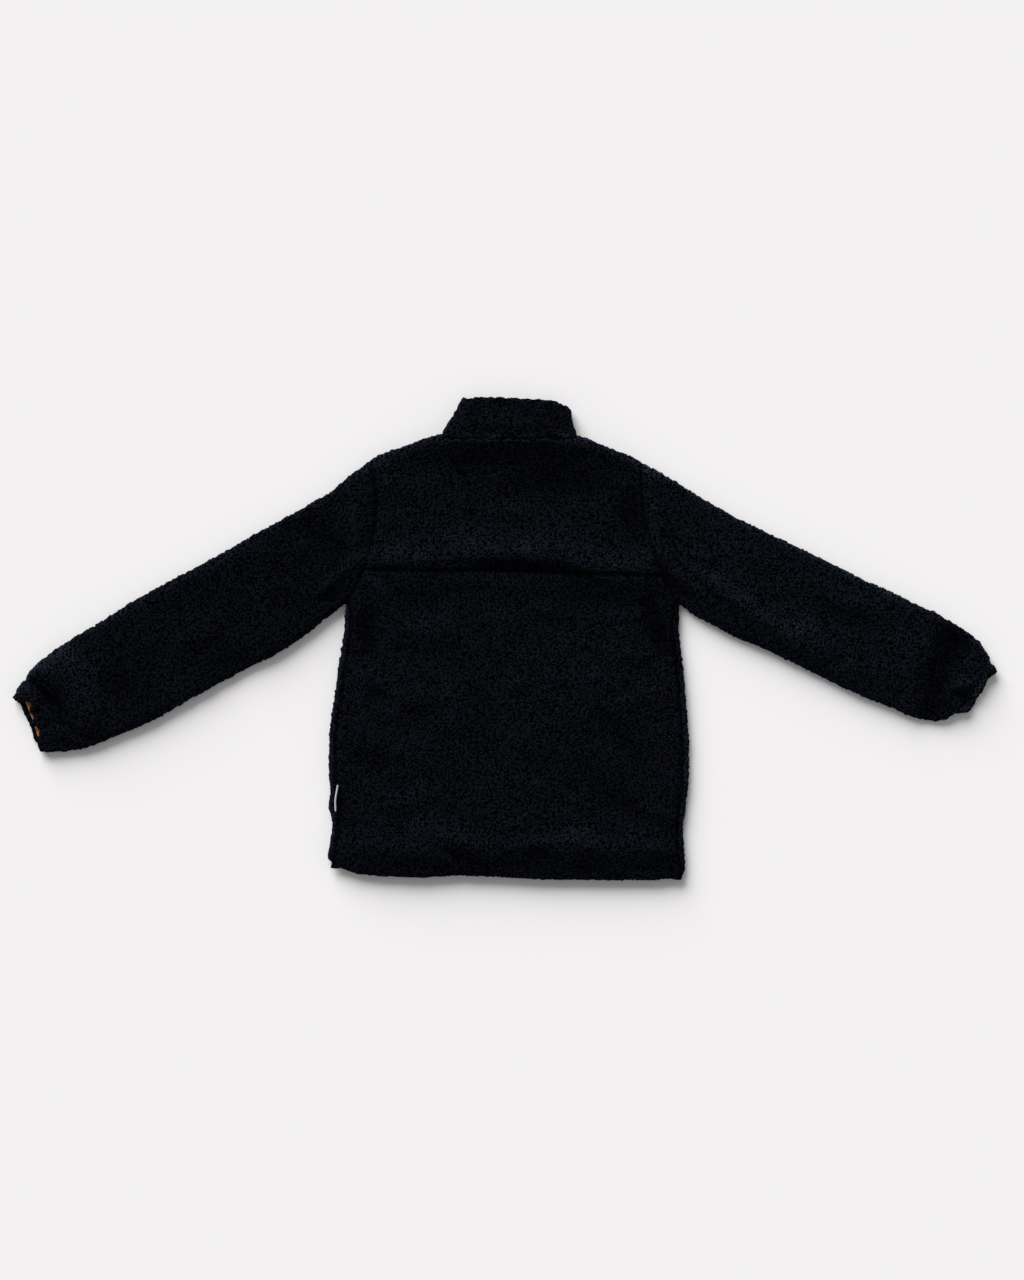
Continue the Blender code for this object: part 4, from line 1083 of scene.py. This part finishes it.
class TEDDY_OT_zip(Operator):
    """Makes the zip's tapes and teeth, and finishes its slider and pull"""
    bl_idname = "teddy.zip"
    bl_label = "Zip"

    def execute(self, context):
        trim = context.scene.teddy_trim
        for side in ("left", "right"):
            node = "zip_tape_" + side
            tape = solid_copy(node, node + "_woven")
            step = tape.modifiers.new("soft_edge", "BEVEL")
            step.width = 0.00025
            step.segments = 2
            settle(tape)
            dress(tape, tape_material("black_zip_tape", trim.tape, TAPE_RIB))
            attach(tape, "root")
            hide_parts(node)
        self.teeth(trim)
        for node in ("zip_slider", "zip_pull"):
            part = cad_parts[node]
            rounding = part.modifiers.new("worn_edges", "BEVEL")
            rounding.width = 0.0002
            rounding.segments = 2
            rounding.limit_method = "ANGLE"
            part.material_slots[0].material = metal_material()
        return {"FINISHED"}

    def teeth(self, trim):
        low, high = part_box("zip_chain")
        middle = (low.x + high.x) / 2
        mesh_of = bmesh.new()
        count = int((high.y - low.y) / trim.tooth_pitch)
        size = Vector(((high.x - low.x) * 0.56, trim.tooth_pitch * 0.36, high.z - low.z))
        for number in range(2 * count):
            side = 1 if number % 2 else -1
            tooth = bmesh.ops.create_cube(mesh_of, size=1.0)["verts"]
            for vert in tooth:
                if vert.co.x * side < 0:
                    vert.co.y *= 0.8
                vert.co.z *= 1.0 if vert.co.x * side < 0 else 0.8
                vert.co = Vector([c * s for c, s in zip(vert.co, size)])
                vert.co += Vector((middle + side * size.x * 0.36,
                                   low.y + (number + 0.5) * trim.tooth_pitch / 2, (low.z + high.z) / 2))
        mesh = bpy.data.meshes.new("zip_teeth")
        mesh_of.to_mesh(mesh)
        mesh_of.free()
        piece = bpy.data.objects.new("zip_teeth", mesh)
        bpy.context.scene.collection.objects.link(piece)
        piece.data.materials.append(tape_material("black_zip_tape", trim.tape, TAPE_RIB))
        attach(piece, "root")
        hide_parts("zip_chain")


class TEDDY_OT_stage(Operator):
    """Makes the pale floor, the soft light and the camera straight above"""
    bl_idname = "teddy.stage"
    bl_label = "Stage"

    def execute(self, context):
        scene = context.scene
        stage = scene.teddy_stage
        bpy.ops.mesh.primitive_plane_add(size=FLOOR_SIZE, location=(0, 0, -FLOOR_DROP))
        floor = context.object
        floor.name = "floor"
        material, tree, shader = new_material("pale_floor")
        set_inputs(shader, Base_Color=stage.floor, Roughness=0.9, Specular_IOR_Level=0.0)
        floor.data.materials.append(material)

        world = bpy.data.worlds.new("studio")
        world.use_nodes = True
        set_inputs(world.node_tree.nodes["Background"], Color=(1, 1, 1, 1), Strength=1 - stage.key)
        scene.world = world
        lamp = bpy.data.lights.new("key", "SUN")
        lamp.energy = stage.key * math.pi / math.sin(stage.key_height)
        lamp.angle = stage.key_softness
        key = bpy.data.objects.new("key", lamp)
        key.rotation_euler = (-(math.pi / 2 - stage.key_height), 0, stage.key_turn)
        scene.collection.objects.link(key)

        optic = bpy.data.cameras.new("camera")
        optic.sensor_fit = "VERTICAL"
        optic.sensor_height = SENSOR_HEIGHT
        optic.lens = stage.lens
        camera = bpy.data.objects.new("camera", optic)
        low, high = CAD_BOX
        plan_height = (low[2] + high[2]) / 2
        away = stage.view_height * optic.lens / optic.sensor_height
        camera.location = (*VIEW_MIDDLE, plan_height + away)
        scene.collection.objects.link(camera)
        scene.camera = camera
        scene.view_settings.view_transform = "Standard"
        return {"FINISHED"}


class TEDDY_PT_panel(Panel):
    """Lists the steps that make the jacket's looks"""
    bl_label = "Teddy jacket"
    bl_space_type = "VIEW_3D"
    bl_region_type = "UI"
    bl_category = "Teddy jacket"

    def draw(self, context):
        for operator in OPERATORS:
            self.layout.operator(operator.bl_idname)
        for group in SETTINGS:
            box = self.layout.box()
            settings = getattr(context.scene, group)
            for name in settings.__annotations__:
                box.prop(settings, name)


SETTINGS = {
    "teddy_cloth": ClothSettings,
    "teddy_pile": PileSettings,
    "teddy_trim": TrimSettings,
    "teddy_stage": StageSettings,
}
OPERATORS = (TEDDY_OT_stage, TEDDY_OT_fronts, TEDDY_OT_back, TEDDY_OT_sleeves, TEDDY_OT_cuffs,
             TEDDY_OT_collar, TEDDY_OT_lining, TEDDY_OT_label, TEDDY_OT_zip)


def register():
    for group in SETTINGS.values():
        bpy.utils.register_class(group)
    for name, group in SETTINGS.items():
        setattr(bpy.types.Scene, name, PointerProperty(type=group))
    for operator in OPERATORS:
        bpy.utils.register_class(operator)
    bpy.utils.register_class(TEDDY_PT_panel)


def unregister():
    bpy.utils.unregister_class(TEDDY_PT_panel)
    for operator in reversed(OPERATORS):
        bpy.utils.unregister_class(operator)
    for name in SETTINGS:
        delattr(bpy.types.Scene, name)
    for group in SETTINGS.values():
        bpy.utils.unregister_class(group)


def main():
    register()
    for operator in OPERATORS:
        getattr(bpy.ops.teddy, operator.bl_idname.split(".")[1])()


if __name__ == "__main__":
    main()
